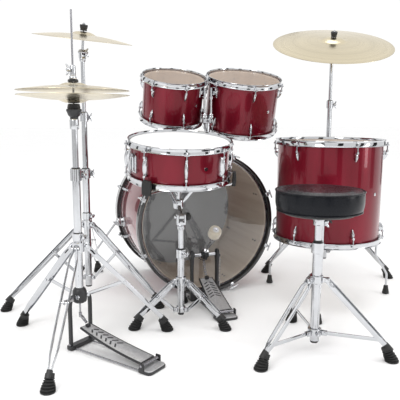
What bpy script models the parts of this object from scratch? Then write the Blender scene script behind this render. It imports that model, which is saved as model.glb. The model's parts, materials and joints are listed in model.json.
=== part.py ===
"""Five-drum acoustic kit: bass drum, two hung toms, floor tom, snare, hi-hat, crash, ride, throne, pedals.

Metres, +Z up.  The bass drum lies along +Y with its front head towards the audience, the drummer sits
towards -Y and +X is the drummer's right.  The kit stands on Z = 0 and is centred on its own floor box.
"""

import math

import bmesh
import bpy
from mathutils import Matrix, Vector

INCH = 0.0254
GAP = 0.0004  # clearance between pieces that rest on each other
UP = Vector((0, 0, 1))

# ---- drum sizes -------------------------------------------------------------------------------------
BASS_RADIUS = 11 * INCH
BASS_DEPTH = 16 * INCH
TOM_1_RADIUS = 5 * INCH
TOM_1_DEPTH = 7 * INCH
TOM_2_RADIUS = 6 * INCH
TOM_2_DEPTH = 8.5 * INCH
FLOOR_RADIUS = 8 * INCH
FLOOR_DEPTH = 15 * INCH
SNARE_RADIUS = 7 * INCH
SNARE_DEPTH = 5 * INCH
SHELL_WALL = 0.0065
FILM = 0.0006
HOOP_WALL = 0.0023
HOOP_BELOW = 0.013
HOOP_ABOVE = 0.009

# ---- cymbal sizes -----------------------------------------------------------------------------------
HAT_RADIUS = 6.65 * INCH
CRASH_RADIUS = 7.5 * INCH
RIDE_RADIUS = 11 * INCH
HOLE_RADIUS = 0.0065

# ---- places on the floor, measured from the middle of the bass drum's batter hoop -------------------
BASS_HOOP_RADIUS = 0.2975
BASS_HOOP_WIDTH = 0.042
BASS_HEAD_INSET = 0.018
BASS_AXIS_Z = BASS_HOOP_RADIUS + GAP
TOM_1_AT = Vector((-0.100, 0.140, 0.899))
TOM_1_NORMAL = Vector((-0.018, -0.318, 0.948))
TOM_2_AT = Vector((0.195, 0.088, 0.901))
TOM_2_NORMAL = Vector((-0.033, -0.288, 0.957))
FLOOR_AT = Vector((0.425, -0.225, 0.646))
SNARE_AT = Vector((-0.195, -0.2125, 0.654))
SNARE_NORMAL = Vector((-0.020, -0.145, 0.989))
SNARE_STAND_AT = Vector((-0.203, -0.245, 0))
HIHAT_AT = Vector((-0.581, -0.346, 0))
CRASH_AT = Vector((-0.474, 0.152, 0))
RIDE_AT = Vector((0.703, 0.198, 0))
THRONE_AT = Vector((0.119, -0.631, 0))
PEDAL_AT = Vector((-0.045, -0.075, 0))
POST_AT = Vector((0.018, 0.066, 0))

# ---- tripods: foot circle, bearing of the first foot, height of the leg pivots and of the lower hub --
HIHAT_TRIPOD = dict(reach=0.302, bearing=244.5, top=0.330, hub=0.172, tube=0.0127, bore=0.0105, fold=0.45)
CRASH_TRIPOD = dict(reach=0.338, bearing=193.3, top=0.302, hub=0.078, tube=0.0143, bore=0.005, fold=0.38)
RIDE_TRIPOD = dict(reach=0.328, bearing=180.8, top=0.302, hub=0.078, tube=0.0143, bore=0.005, fold=0.38)
SNARE_TRIPOD = dict(reach=0.185, bearing=188.9, top=0.148, hub=0.042, tube=0.0127, bore=0.0105, fold=0.42)
THRONE_REACH = 0.238
THRONE_BEARING = 197.2
THRONE_PIVOT_Z = 0.234
THRONE_HUB_Z = 0.059
THRONE_TUBE = 0.0143
THRONE_PIVOT_OUT = 0.034
THRONE_BRACE_AT = 0.86  # where a brace meets its leg, as a share of the leg's length
STRIP_WIDTH = 0.016
STRIP_THICK = 0.0024
FOOT_RADIUS = 0.0155
SEAT_TOP = 0.522
SEAT_RADIUS = 0.140
SEAT_THICK = 0.074

# ---- cymbal stands ----------------------------------------------------------------------------------
CRASH_PIVOT_Z = 0.985
CRASH_NORMAL = Vector((0.063, -0.152, 0.986))
CRASH_HOLE = 0.078  # from the tilter pivot to the cymbal's hole, along the stud
RIDE_PIVOT_Z = 1.040
RIDE_NORMAL = Vector((-0.152, -0.357, 0.922))
RIDE_HOLE = 0.072
UPPER_CLAMP_Z = {"crash": 0.752, "ride": 0.815}
LOWER_CLAMP_Z = {"crash": 0.528, "ride": 0.560}

# ---- hi-hat -----------------------------------------------------------------------------------------
HAT_GAP = 0.015
HAT_EDGE_Z = 0.802
HAT_HEIGHT = 0.024
HAT_ROD_TOP = 1.053
HAT_PEDAL_BEARING = 305.0
HAT_HEEL_REACH = 0.290
HAT_TOE_REACH = 0.022
HAT_TOE_Z = 0.074

# ---- bass pedal -------------------------------------------------------------------------------------
AXLE_Z = 0.190
PEDAL_HALF = 0.054
PEDAL_HEEL_Y = -0.285
PEDAL_TOE_Z = 0.098
BEATER_REACH = Vector((0, -0.105, 0.112))
HEEL_PIVOT_Z = 0.024

RED = ("shell_lacquer", (0.30, 0.02, 0.04, 1), 0.12, 0.25)
CHROME = ("chrome_plate", (0.80, 0.80, 0.82, 1), 0.10, 1.0)
BLACK = ("black_enamel", (0.02, 0.02, 0.02, 1), 0.35, 0.0)
CLEAR = ("clear_film", (0.80, 0.78, 0.74, 1), 0.20, 0.0)
SMOKE = ("smoke_film", (0.18, 0.17, 0.17, 1), 0.15, 0.0)
WHITE = ("coated_film", (0.92, 0.92, 0.92, 1), 0.50, 0.0)
BRASS = ("cymbal_brass", (0.72, 0.62, 0.38, 1), 0.25, 1.0)
SILVER = ("cast_silver", (0.60, 0.60, 0.62, 1), 0.35, 1.0)
VINYL = ("black_vinyl", (0.03, 0.03, 0.03, 1), 0.45, 0.0)


# ---- solids -----------------------------------------------------------------------------------------
def turned(profile, sides=24, start=0.0):
    """A solid of revolution about Z.  A profile that starts and ends on the axis makes a full solid,
    any other profile is closed on itself and makes a ring."""
    mesh = bmesh.new()
    rings = []
    for radius, height in profile:
        if radius == 0:
            rings.append([mesh.verts.new((0, 0, height))])
            continue
        turn = [start + math.tau * k / sides for k in range(sides)]
        rings.append([mesh.verts.new((radius * math.cos(a), radius * math.sin(a), height)) for a in turn])
    pairs = list(zip(rings, rings[1:]))
    if profile[0][0] != 0:
        pairs.append((rings[-1], rings[0]))
    for low, high in pairs:
        for k in range(sides):
            corners = [low[k % len(low)], low[(k + 1) % len(low)]]
            corners += [high[(k + 1) % len(high)], high[k % len(high)]]
            unique = list(dict.fromkeys(corners))
            if len(unique) > 2:
                mesh.faces.new(unique)
    bmesh.ops.recalc_face_normals(mesh, faces=mesh.faces)
    return mesh


def swept(points, outline, side):
    """A section carried along a planar path.  Outline x lies along side, y across the path."""
    mesh = bmesh.new()
    path = [Vector(p) for p in points]
    side = Vector(side).normalized()
    rings = []
    for k, here in enumerate(path):
        before = (here - path[k - 1]).normalized() if k else (path[1] - here).normalized()
        after = (path[k + 1] - here).normalized() if k + 1 < len(path) else before
        along = (before + after).normalized()
        across = side.cross(along).normalized() / max(0.35, along.dot(before))
        rings.append([mesh.verts.new(here + side * x + across * y) for x, y in outline])
    count = len(outline)
    for low, high in zip(rings, rings[1:]):
        for k in range(count):
            mesh.faces.new((low[k], low[(k + 1) % count], high[(k + 1) % count], high[k]))
    mesh.faces.new(rings[0])
    mesh.faces.new(rings[-1])
    bmesh.ops.recalc_face_normals(mesh, faces=mesh.faces)
    return mesh


def circle(radius, sides):
    angles = [math.tau * k / sides for k in range(sides)]
    return [(radius * math.cos(a), radius * math.sin(a)) for a in angles]


def rectangle(width, height):
    x, y = width / 2, height / 2
    return [(-x, -y), (x, -y), (x, y), (-x, y)]


def perpendicular(direction):
    return direction.cross(UP if abs(direction.normalized().z) < 0.9 else Vector((1, 0, 0))).normalized()


def rod(start, end, radius, sides=8):
    start, end = Vector(start), Vector(end)
    return swept([start, end], circle(radius, sides), perpendicular(end - start))


def bar(start, end, width, thickness, side):
    """A flat bar whose width lies along side."""
    return swept([start, end], rectangle(width, thickness), side)


def block(size, centre, turn=0.0):
    """An upright box, turned about Z by turn degrees."""
    x, y, z = size
    across = Matrix.Rotation(math.radians(turn), 3, "Z") @ Vector((1, 0, 0))
    base, top = Vector(centre) - UP * z / 2, Vector(centre) + UP * z / 2
    return swept([base, top], rectangle(x, y), across)


def tube_cup(radius, wall, low, high, floor, sides=12):
    """A tube that is closed at the bottom and open at the top down to floor."""
    inner = radius - wall
    return turned([(0, low), (radius, low), (radius, high), (inner, high), (inner, floor), (0, floor)], sides)


def sleeve(inner, outer, low, high, sides=12):
    return turned([(inner, low), (outer, low), (outer, high), (inner, high)], sides)


def placed(solid, matrix):
    solid.transform(matrix)
    return solid


def polar(radius, bearing, height=0.0):
    a = math.radians(bearing)
    return Vector((radius * math.cos(a), radius * math.sin(a), height))


def stood(at, normal=UP):
    """The matrix of a frame whose origin is at and whose Z axis is normal."""
    turn = UP.rotation_difference(Vector(normal).normalized()).to_matrix().to_4x4()
    return Matrix.Translation(at) @ turn


# ---- objects ----------------------------------------------------------------------------------------
def finish_material(finish):
    name, color, roughness, metallic = finish
    made = bpy.data.materials.get(name)
    if made is None:
        made = bpy.data.materials.new(name)
        made.use_nodes = True
        shader = made.node_tree.nodes["Principled BSDF"]
        shader.inputs["Base Color"].default_value = color
        shader.inputs["Roughness"].default_value = roughness
        shader.inputs["Metallic"].default_value = metallic
        made.diffuse_color = color
    return made


def raw_object(name, solid):
    data = bpy.data.meshes.new(name)
    solid.to_mesh(data)
    solid.free()
    made = bpy.data.objects.new(name, data)
    bpy.context.scene.collection.objects.link(made)
    return made


def united(first, others):
    """The mesh of first with the others joined on by one exact Boolean union."""
    group = bpy.data.collections.new("operands")
    for other in others:
        group.objects.link(other)
    union = first.modifiers.new("union", "BOOLEAN")
    union.operation = "UNION"
    union.operand_type = "COLLECTION"
    union.collection = group
    union.solver = "EXACT"
    bpy.context.view_layer.update()
    graph = bpy.context.evaluated_depsgraph_get()
    data = bpy.data.meshes.new_from_object(first.evaluated_get(graph))
    first.modifiers.clear()
    first.data = data
    for other in others:
        bpy.data.objects.remove(other)
    bpy.data.collections.remove(group)


def piece(name, solids, finish, pivot=(0, 0, 0), matrix=None):
    """Joins the solids into one object whose origin is at pivot, on its joint's axis."""
    if matrix is not None:
        solids = [placed(solid, matrix) for solid in solids]
    made, *others = [raw_object(name if k == 0 else f"{name}_{k}", solid) for k, solid in enumerate(solids)]
    if others:
        united(made, others)
    tidy = bmesh.new()
    tidy.from_mesh(made.data)
    bmesh.ops.remove_doubles(tidy, verts=tidy.verts, dist=2e-6)
    tidy.transform(Matrix.Translation(-Vector(pivot)))
    tidy.to_mesh(made.data)
    tidy.free()
    made.data.shade_smooth()
    made.data.set_sharp_from_angle(angle=math.radians(35))
    made.location = pivot
    made.parent = KIT
    made.data.materials.clear()
    made.data.materials.append(finish_material(finish))
    return made


# ---- drums ------------------------------------------------------------------------------------------
def head_solid(radius, sides, spread=0.0):
    """A drum head: a film at z = 0, its collar and the flesh ring below.  Spread widens the ring."""
    ring = radius + 0.0040 + spread
    return turned(
        [(0, 0), (radius + 0.0012, 0), (ring, -0.0045), (ring, -0.0105), (radius + 0.0010, -0.0105),
         (radius + 0.0006, -0.0014), (0, -FILM)],
        sides,
    )


def shell_solid(radius, depth, sides):
    """The open wooden tube between the two heads, bevelled inwards at each bearing edge."""
    outer, inner = radius - 0.0006, radius - SHELL_WALL
    top, bottom = -FILM - 0.0008 - GAP, -depth + FILM + 0.0008 + GAP
    return turned([(outer, top), (outer, bottom), (inner, bottom + 0.005), (inner, top - 0.005)], sides)


def lug_solid(radius, bearing, middle, length, depth=0.021, width=0.013):
    """A lug casting on the shell, reaching past the line of its tension rod."""
    inside, outside = polar(radius - 0.003, bearing, middle), polar(radius - 0.001 + depth, bearing, middle)
    return bar(inside, outside, length, width, UP)


def metal_hoop(radius, sides, lugs, bearing, rod_end):
    """A flanged steel hoop with a tension rod through its flange at each lug.  Rods run down to rod_end."""
    wall = radius + 0.0046
    outer = wall + HOOP_WALL
    solids = [
        turned(
            [(wall, -HOOP_BELOW), (radius + 0.0106, -HOOP_BELOW), (radius + 0.0106, -HOOP_BELOW + HOOP_WALL),
             (outer, -HOOP_BELOW + HOOP_WALL), (outer, HOOP_ABOVE - 0.002), (radius + 0.0085, HOOP_ABOVE),
             (wall, HOOP_ABOVE)],
            sides,
        )
    ]
    for k in range(lugs):
        angle = bearing + 360 * k / lugs
        middle = polar(radius + 0.0125, angle, (rod_end - 0.002) / 2)
        solids.append(block((0.0078, 0.0050, -0.002 - rod_end), middle, angle))
    return solids


def drum(name, matrix, radius, depth, sides, lugs, bearing, lug_length, lug_drop, extra, head_finish):
    """Shell with its lugs, top hoop, batter head, and the lower hoop with the head it holds."""
    lug_far = lug_drop + lug_length / 2
    centres = [-lug_drop, -depth + lug_drop]
    bearings = [bearing + 360 * k / lugs for k in range(lugs)]
    castings = [lug_solid(radius, angle, z, lug_length) for angle in bearings for z in centres]
    shell = [shell_solid(radius, depth, sides), *castings, *extra]
    piece(f"{name}_shell", shell, RED, matrix @ Vector(), matrix)
    rod_end = -lug_far + lug_length + GAP
    hoop = metal_hoop(radius, sides, lugs, bearing, rod_end)
    piece(f"{name}_top_hoop", hoop, CHROME, matrix @ Vector(), matrix)
    piece(f"{name}_batter_head", [head_solid(radius, sides)], head_finish, matrix @ Vector(), matrix)
    turned_over = matrix @ Matrix.Translation((0, 0, -depth)) @ Matrix.Rotation(math.pi, 4, "X")
    lower = metal_hoop(radius, sides, lugs, -bearing, rod_end)
    lower.append(head_solid(radius, sides, spread=0.0016))
    piece(f"{name}_bottom_hoop", lower, CHROME, matrix @ Vector(), turned_over)


def wood_hoop(radius, bearing):
    """A bass drum hoop with a claw and a T-rod at each lug, outside face at z = BASS_HEAD_INSET."""
    inner = radius + 0.0055
    face, back = BASS_HEAD_INSET, BASS_HEAD_INSET - BASS_HOOP_WIDTH
    solids = [turned([(inner, face), (BASS_HOOP_RADIUS, face), (BASS_HOOP_RADIUS, back), (inner, back)], 32)]
    for k in range(8):
        angle = bearing + 45 * k
        high = polar(BASS_HOOP_RADIUS + 0.002, angle, face - 0.001)
        low = polar(BASS_HOOP_RADIUS + 0.002, angle, back)
        if polar(1, angle).y > -0.95:
            solids.append(bar(low, high, 0.017, 0.007, perpendicular(polar(1, angle))))
            solids.append(rod(low - UP * 0.020, high + UP * 0.016, 0.003, 4))
            across = perpendicular(polar(1, angle)) * 0.016
            tip = high + UP * 0.0145
            solids.append(rod(tip - across, tip + across, 0.0028, 4))
    return solids


def build_bass_drum():
    to_world = Matrix.Translation((0, BASS_HEAD_INSET, BASS_AXIS_Z)) @ Matrix.Rotation(math.pi / 2, 4, "X")
    front = to_world @ Matrix.Translation((0, 0, -BASS_DEPTH)) @ Matrix.Rotation(math.pi, 4, "X")
    claw_end = BASS_HEAD_INSET - BASS_HOOP_WIDTH - 0.020
    middle = -claw_end + GAP + 0.017
    castings = []
    for k in range(8):
        for z in (-middle, -BASS_DEPTH + middle):
            castings.append(lug_solid(BASS_RADIUS, 22.5 + 45 * k, z, 0.034, 0.026, 0.016))
    top = polar(BASS_RADIUS - 0.004, 90) + Vector((POST_AT.x, 0, -(POST_AT.y - BASS_HEAD_INSET)))
    top.y = math.sqrt(BASS_RADIUS**2 - POST_AT.x**2)
    socket = sleeve(0.0136, 0.019, BASS_AXIS_Z + top.y - 0.020, BASS_AXIS_Z + top.y + 0.040)
    foot = block((0.060, 0.042, 0.018), (0, 0, BASS_AXIS_Z + top.y - 0.001))
    hollow = turned([(0, 0.50), (0.0136, 0.50), (0.0136, 0.66), (0, 0.66)], 12)
    shell = [placed(solid, to_world) for solid in [shell_solid(BASS_RADIUS, BASS_DEPTH, 32), *castings]]
    shell += [placed(solid, Matrix.Translation(POST_AT)) for solid in (foot, socket)]
    for side in (-1, 1):
        boss = SPUR_PIVOT.copy()
        boss.x *= side
        inward = Vector((side * (BASS_RADIUS - 0.012), boss.y, boss.z))
        shell.append(rod(inward, boss - Vector((side * 0.008, 0, 0)), 0.019, 10))
    made = piece("bass_shell", shell, RED, (0, 0, BASS_AXIS_Z))
    drill(made, placed(hollow, Matrix.Translation(POST_AT)))
    piece("bass_batter_head", [head_solid(BASS_RADIUS, 32)], SMOKE, (0, 0, BASS_AXIS_Z), to_world)
    piece("bass_front_head", [head_solid(BASS_RADIUS, 32)], SMOKE, (0, 0, BASS_AXIS_Z), front)
    piece("bass_batter_hoop", wood_hoop(BASS_RADIUS, 22.5), BLACK, (0, 0, BASS_AXIS_Z), to_world)
    piece("bass_front_hoop", wood_hoop(BASS_RADIUS, 22.5), BLACK, (0, 0, BASS_AXIS_Z), front)


def drill(made, cutter):
    """Cuts a hole through made."""
    tool = raw_object(made.name + "_drill", cutter)
    tool.parent = KIT
    cut = made.modifiers.new("hole", "BOOLEAN")
    cut.operation = "DIFFERENCE"
    cut.solver = "EXACT"
    cut.object = tool
    bpy.context.view_layer.update()
    graph = bpy.context.evaluated_depsgraph_get()
    data = bpy.data.meshes.new_from_object(made.evaluated_get(graph))
    made.modifiers.clear()
    made.data = data
    bpy.data.objects.remove(tool)


SPUR_PIVOT = Vector((0.302, 0.350, 0.262))
SPUR_TIP = Vector((0.450, 0.520, 0.0006))


def build_spur(name, side):
    """A folding leg on the side of the bass drum, turning about a pin that points sideways."""
    pivot, tip = SPUR_PIVOT.copy(), SPUR_TIP.copy()
    pivot.x, tip.x = side * pivot.x, side * tip.x
    out = Vector((side, 0, 0))
    start = pivot + out * 0.010
    lean = (tip - start).normalized()
    solids = [
        rod(pivot - out * 0.0070, pivot + out * 0.016, 0.017, 10),
        rod(start, tip - lean * 0.030, 0.0050, 8),
        rod(tip - lean * 0.034, tip + UP * 0.006, 0.0085, 8),
    ]
    piece(name, solids, CHROME, pivot)


def build_tom_holder():
    """The post in the bass drum's socket and the clamp head that grips both ball rods."""
    head_z = TOM_BALL_Z
    solids = [
        rod((0, 0, 0.505), (0, 0, head_z - 0.016), 0.0127, 12),
        block((0.030, 0.024, 0.020), (0, 0, head_z - 0.024)),
        block((0.044, 0.012, 0.018), (-0.001, -0.0095, head_z - 0.026)),
    ]
    piece("tom_post", solids, CHROME, POST_AT, Matrix.Translation(POST_AT))


TOM_BALL_Z = 0.745
TOM_BRACKET_Z = 0.836
TOM_1_ROD = Vector((0.0030, 0.0570, 0))
TOM_2_ROD = Vector((0.0310, 0.0560, 0))


def build_tom_arm(name, at):
    """A vertical rod with a ball at its lower end; the tom's bracket clamps round the rod."""
    ball = [(0, -0.011), (0.0078, -0.0078), (0.011, 0), (0.0078, 0.0078), (0, 0.011)]
    solids = [
        placed(turned(ball, 10), Matrix.Translation(at + UP * TOM_BALL_Z)),
        rod(at + UP * TOM_BALL_Z, at + UP * (TOM_BRACKET_Z + 0.020), 0.0050, 8),
    ]
    piece(name, solids, CHROME, at + UP * TOM_BALL_Z)


def tom_bracket(matrix, radius, at):
    """A clamp block that stands on the tom's shell and reaches to its rod, in the drum's own frame."""
    rod_point = matrix.inverted() @ (at + UP * TOM_BRACKET_Z)
    out = Vector((rod_point.x, rod_point.y, 0))
    start = out.normalized() * (radius - 0.003) + UP * rod_point.z
    end = out.normalized() * (out.length - 0.0085) + UP * rod_point.z
    return bar(start, end, 0.014, 0.024, UP)


def build_toms():
    for name, at, normal, radius, depth, rod_at, bearing in (
        ("tom_1", TOM_1_AT, TOM_1_NORMAL, TOM_1_RADIUS, TOM_1_DEPTH, TOM_1_ROD, 273.9),
        ("tom_2", TOM_2_AT, TOM_2_NORMAL, TOM_2_RADIUS, TOM_2_DEPTH, TOM_2_ROD, 262.7),
    ):
        matrix = stood(at, normal)
        bracket = tom_bracket(matrix, radius, rod_at)
        drum(name, matrix, radius, depth, 24, 6, bearing, 0.034, 0.046, [bracket], CLEAR)
        build_tom_arm(f"{name}_arm", rod_at)


FLOOR_LEG_BEARINGS = (232.7, 352.7, 112.7)
FLOOR_LEG_OUT = FLOOR_RADIUS + 0.027
FLOOR_FOOT_OUT = 0.286


def build_floor_tom():
    matrix = stood(FLOOR_AT)
    brackets = []
    for bearing in FLOOR_LEG_BEARINGS:
        start = polar(FLOOR_RADIUS - 0.003, bearing, -0.270)
        end = polar(FLOOR_LEG_OUT - 0.0062, bearing, -0.270)
        brackets.append(bar(start, end, 0.050, 0.026, UP))
    drum("floor_tom", matrix, FLOOR_RADIUS, FLOOR_DEPTH, 24, 6, 262.7, 0.034, 0.050, brackets, CLEAR)
    for k, bearing in enumerate(FLOOR_LEG_BEARINGS):
        base = Vector((FLOOR_AT.x, FLOOR_AT.y, 0))
        straight = ((FLOOR_LEG_OUT, 0.460), (FLOOR_LEG_OUT, 0.165))
        heights = (*straight, (FLOOR_FOOT_OUT, 0.090), (FLOOR_FOOT_OUT, 0.030))
        path = [base + polar(out, bearing, z) for out, z in heights]
        foot = turned([(0, 0.0006), (0.013, 0.0006), (0.014, 0.010), (0.009, 0.034), (0, 0.034)], 10)
        solids = [
            swept(path, circle(0.0048, 8), perpendicular(polar(1, bearing))),
            placed(foot, Matrix.Translation(base + polar(FLOOR_FOOT_OUT, bearing))),
        ]
        piece(f"floor_tom_leg_{k + 1}", solids, CHROME, path[0])


SNARE_BEARING = 258.4
STRAINER_BEARING = 190.9
LEVER_Z = -0.094


def build_snare():
    """Snare drum on its basket; the strainer's lever swings down from the side of the shell."""
    matrix = stood(SNARE_AT, SNARE_NORMAL)
    sides = 24
    castings = [lug_solid(SNARE_RADIUS, SNARE_BEARING + 45 * k, -SNARE_DEPTH / 2, 0.052) for k in range(8)]
    inside = polar(SNARE_RADIUS - 0.003, STRAINER_BEARING, -0.066)
    outside = polar(SNARE_RADIUS + 0.014, STRAINER_BEARING, -0.066)
    strainer = bar(inside, outside, 0.056, 0.030, UP)
    butt_in = polar(SNARE_RADIUS - 0.003, STRAINER_BEARING + 180, -0.090)
    butt_out = polar(SNARE_RADIUS + 0.012, STRAINER_BEARING + 180, -0.090)
    butt = bar(butt_in, butt_out, 0.030, 0.026, UP)
    shell = [shell_solid(SNARE_RADIUS, SNARE_DEPTH, sides), *castings, strainer, butt]
    piece("snare_shell", shell, RED, matrix @ Vector(), matrix)
    rod_end = -SNARE_DEPTH / 2 + 0.026 + GAP
    hoop = metal_hoop(SNARE_RADIUS, sides, 8, SNARE_BEARING, rod_end)
    piece("snare_top_hoop", hoop, CHROME, matrix @ Vector(), matrix)
    piece("snare_batter_head", [head_solid(SNARE_RADIUS, sides)], WHITE, matrix @ Vector(), matrix)
    turned_over = matrix @ Matrix.Translation((0, 0, -SNARE_DEPTH)) @ Matrix.Rotation(math.pi, 4, "X")
    lower = metal_hoop(SNARE_RADIUS, sides, 8, -SNARE_BEARING, rod_end)
    lower.append(head_solid(SNARE_RADIUS, sides, spread=0.0016))
    across = polar(1, -STRAINER_BEARING)
    wires = across * 0.155
    lower.append(bar(-wires - UP * 0.0002, wires - UP * 0.0002, 0.042, 0.0036, perpendicular(across)))
    piece("snare_bottom_hoop", lower, CHROME, matrix @ Vector(), turned_over)
    hinge = polar(SNARE_RADIUS + 0.0180, STRAINER_BEARING, LEVER_Z)
    lever_top = polar(SNARE_RADIUS + 0.0180, STRAINER_BEARING, LEVER_Z + 0.050)
    side = perpendicular(polar(1, STRAINER_BEARING))
    lever = [rod(hinge - side * 0.011, hinge + side * 0.011, 0.0035, 8)]
    lever.append(bar(hinge, lever_top, 0.010, 0.005, side))
    piece("snare_throw_off", lever, CHROME, matrix @ hinge, matrix)


# ---- stands -----------------------------------------------------------------------------------------
def foot_solid(at, lean):
    """A ribbed rubber foot standing on the floor, its neck leaning along the leg."""
    sole = turned([(0, 0), (FOOT_RADIUS, 0), (FOOT_RADIUS, 0.006), (0.011, 0.030), (0, 0.030)], 8)
    neck = rod(at + UP * 0.018, at + UP * 0.018 + lean * 0.030, 0.0100, 6)
    return [placed(sole, Matrix.Translation(at)), neck]


def leg_strips(top, foot, side, spread):
    """Two parallel flat strips from the leg's pivot to its foot."""
    solids = []
    for sign in (-1, 1):
        high, low = top + side * sign * spread, foot + side * sign * 0.0045
        solids.append(bar(high, low, STRIP_THICK, STRIP_WIDTH, side))
    return solids


def tripod(reach, bearing, top, hub, tube, bore, fold):
    """Three double-strip legs with single-strip braces, standing locked open.  Built round the Z axis."""
    solids = [sleeve(bore + 0.001, tube + 0.007, top - 0.016, top + 0.016, 10)]
    solids.append(sleeve(bore + 0.001, tube + 0.006, hub - 0.010, hub + 0.010, 10))
    for k in range(3):
        angle = bearing + 120 * k
        side = perpendicular(polar(1, angle))
        high = polar(tube + 0.014, angle, top)
        foot = polar(reach - 0.006, angle, 0.036)
        lean = (high - foot).normalized()
        solids += leg_strips(high, foot, side, 0.0095)
        solids.append(rod(high - side * 0.0115, high + side * 0.0115, 0.005, 5))
        solids.append(block((0.016, 0.012, 0.020), polar(tube + 0.009, angle, top), angle))
        solids += foot_solid(polar(reach, angle), lean)
        joint = high.lerp(foot, fold)
        inner = polar(tube + 0.013, angle, hub)
        solids.append(bar(inner, joint, 0.0030, 0.013, side))
        solids.append(rod(joint - side * 0.0125, joint + side * 0.0125, 0.0045, 5))
        solids.append(block((0.016, 0.010, 0.014), polar(tube + 0.009, angle, hub), angle))
    return solids


def wing_bolt(height, out, bearing):
    """A clamp collar's wing bolt, seen as a short shank with two wings."""
    shank = rod(polar(out - 0.006, bearing, height), polar(out + 0.020, bearing, height), 0.0040, 6)
    wings = bar(
        polar(out + 0.020, bearing, height - 0.015), polar(out + 0.020, bearing, height + 0.015),
        0.004, 0.010, perpendicular(polar(1, bearing)),
    )
    return [shank, wings]


def build_snare_stand():
    at = Matrix.Translation(SNARE_STAND_AT)
    base = tripod(**SNARE_TRIPOD)
    base.append(tube_cup(0.0127, 0.0022, 0.030, 0.270, 0.040))
    base.append(sleeve(0.0115, 0.0165, 0.236, 0.268))
    base += wing_bolt(0.252, 0.0165, 20)
    piece("snare_stand_base", base, CHROME, SNARE_STAND_AT, at)
    fork = SNARE_STAND_AT + UP * BASKET_PIVOT_Z
    post = [
        rod((0, 0, 0.120), (0, 0, BASKET_PIVOT_Z - 0.016), 0.0096, 12),
        block((0.034, 0.018, 0.012), (0, 0, BASKET_PIVOT_Z - 0.022)),
        block((0.007, 0.018, 0.034), (-0.0135, 0, BASKET_PIVOT_Z - 0.007)),
        block((0.007, 0.018, 0.034), (0.0135, 0, BASKET_PIVOT_Z - 0.007)),
    ]
    piece("snare_stand_post", post, CHROME, SNARE_STAND_AT, at)
    matrix = stood(SNARE_AT, SNARE_NORMAL)
    hub = matrix @ Vector((0, 0, -0.236))
    solids = [
        rod(fork - Vector((0.0095, 0, 0)), fork + Vector((0.0095, 0, 0)), 0.011, 10),
        bar(fork, hub, 0.015, 0.016, Vector((1, 0, 0))),
        placed(turned([(0, -0.250), (0.021, -0.250), (0.021, -0.222), (0, -0.222)], 12), matrix),
    ]
    for k in range(3):
        angle = 219 + 120 * k
        steps = ((0.012, -0.240), (0.186, -0.158), (0.1985, -0.150), (0.1985, -0.108))
        path = [matrix @ polar(out, angle, z) for out, z in steps]
        side = matrix.to_3x3() @ perpendicular(polar(1, angle))
        solids.append(swept(path, rectangle(0.011, 0.007), side))
    piece("snare_basket", solids, CHROME, fork)


BASKET_PIVOT_Z = 0.385


def build_hihat():
    at = Matrix.Translation(HIHAT_AT)
    toward, across = polar(1, HAT_PEDAL_BEARING), polar(1, HAT_PEDAL_BEARING + 90)
    base = tripod(**HIHAT_TRIPOD)
    base.append(sleeve(0.0105, 0.0127, 0.150, 0.580, 14))
    base.append(sleeve(0.0115, 0.0180, 0.545, 0.578, 14))
    base += wing_bolt(0.562, 0.018, 60)
    base.append(sleeve(0.0110, 0.0240, 0.150, 0.190, 14))
    for sign in (-1, 1):
        shoulder = ((0.020, 0.172), (0.034, 0.166), (0.043, 0.140))
        path = [across * sign * out + UP * height for out, height in shoulder]
        path.append(across * sign * 0.043 + UP * 0.010)
        base.append(swept(path, rectangle(0.009, 0.012), toward))
    base.append(bar(across * -0.052 + UP * 0.008, across * 0.052 + UP * 0.008, 0.022, 0.015, toward))
    heel = toward * HAT_HEEL_REACH
    for sign in (-1, 1):
        rail = across * sign * 0.036 + UP * 0.006
        base.append(rod(rail, heel + rail, 0.0026, 6))
    base += heel_plate(heel, toward, across, 0.066)
    piece("hihat_base", base, CHROME, HIHAT_AT, at)
    bottom_bell = HAT_EDGE_Z - HAT_HEIGHT
    upper = [
        sleeve(0.0060, 0.0092, 0.300, 0.738, 14),
        turned([(0.0060, 0.734), (0.0125, 0.734), (0.0240, 0.766), (0.0240, bottom_bell - 0.0012),
                (0.0060, bottom_bell - 0.0012)], 14),
    ]
    piece("hihat_upper_tube", upper, CHROME, HIHAT_AT, at)
    flip = at @ Matrix.Translation((0, 0, HAT_EDGE_Z)) @ Matrix.Rotation(math.pi, 4, "X")
    seat = HIHAT_AT + UP * HAT_EDGE_Z
    size = (HAT_RADIUS, HAT_HEIGHT, 0.046, 0.0014)
    piece("hihat_bottom_cymbal", [cymbal_solid(*size)], BRASS, seat, flip)
    lifted = at @ Matrix.Translation((0, 0, HAT_EDGE_Z + HAT_GAP))
    piece("hihat_top_cymbal", [cymbal_solid(*size)], BRASS, seat, lifted)
    bell = HAT_EDGE_Z + HAT_GAP + HAT_HEIGHT
    clutch = [(0, 0.105), (0.0030, 0.105), (0.0030, bell - 0.016), (0.0052, bell - 0.016),
              (0.0052, bell + 0.0006), (0.0150, bell + 0.0006), (0.0150, bell + 0.012), (0.0085, bell + 0.013),
              (0.0085, bell + 0.052), (0.0030, bell + 0.052), (0.0030, HAT_ROD_TOP), (0, HAT_ROD_TOP)]
    piece("hihat_rod", [turned(clutch, 12), *wing_bolt(bell + 0.034, 0.0085, 200)], CHROME, HIHAT_AT, at)
    board = footboard_solids(heel, toward, across, HAT_HEEL_REACH - HAT_TOE_REACH, HAT_TOE_Z, 0.066)
    piece("hihat_footboard", board, SILVER, HIHAT_AT + heel + UP * HEEL_PIVOT_Z, at)


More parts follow.
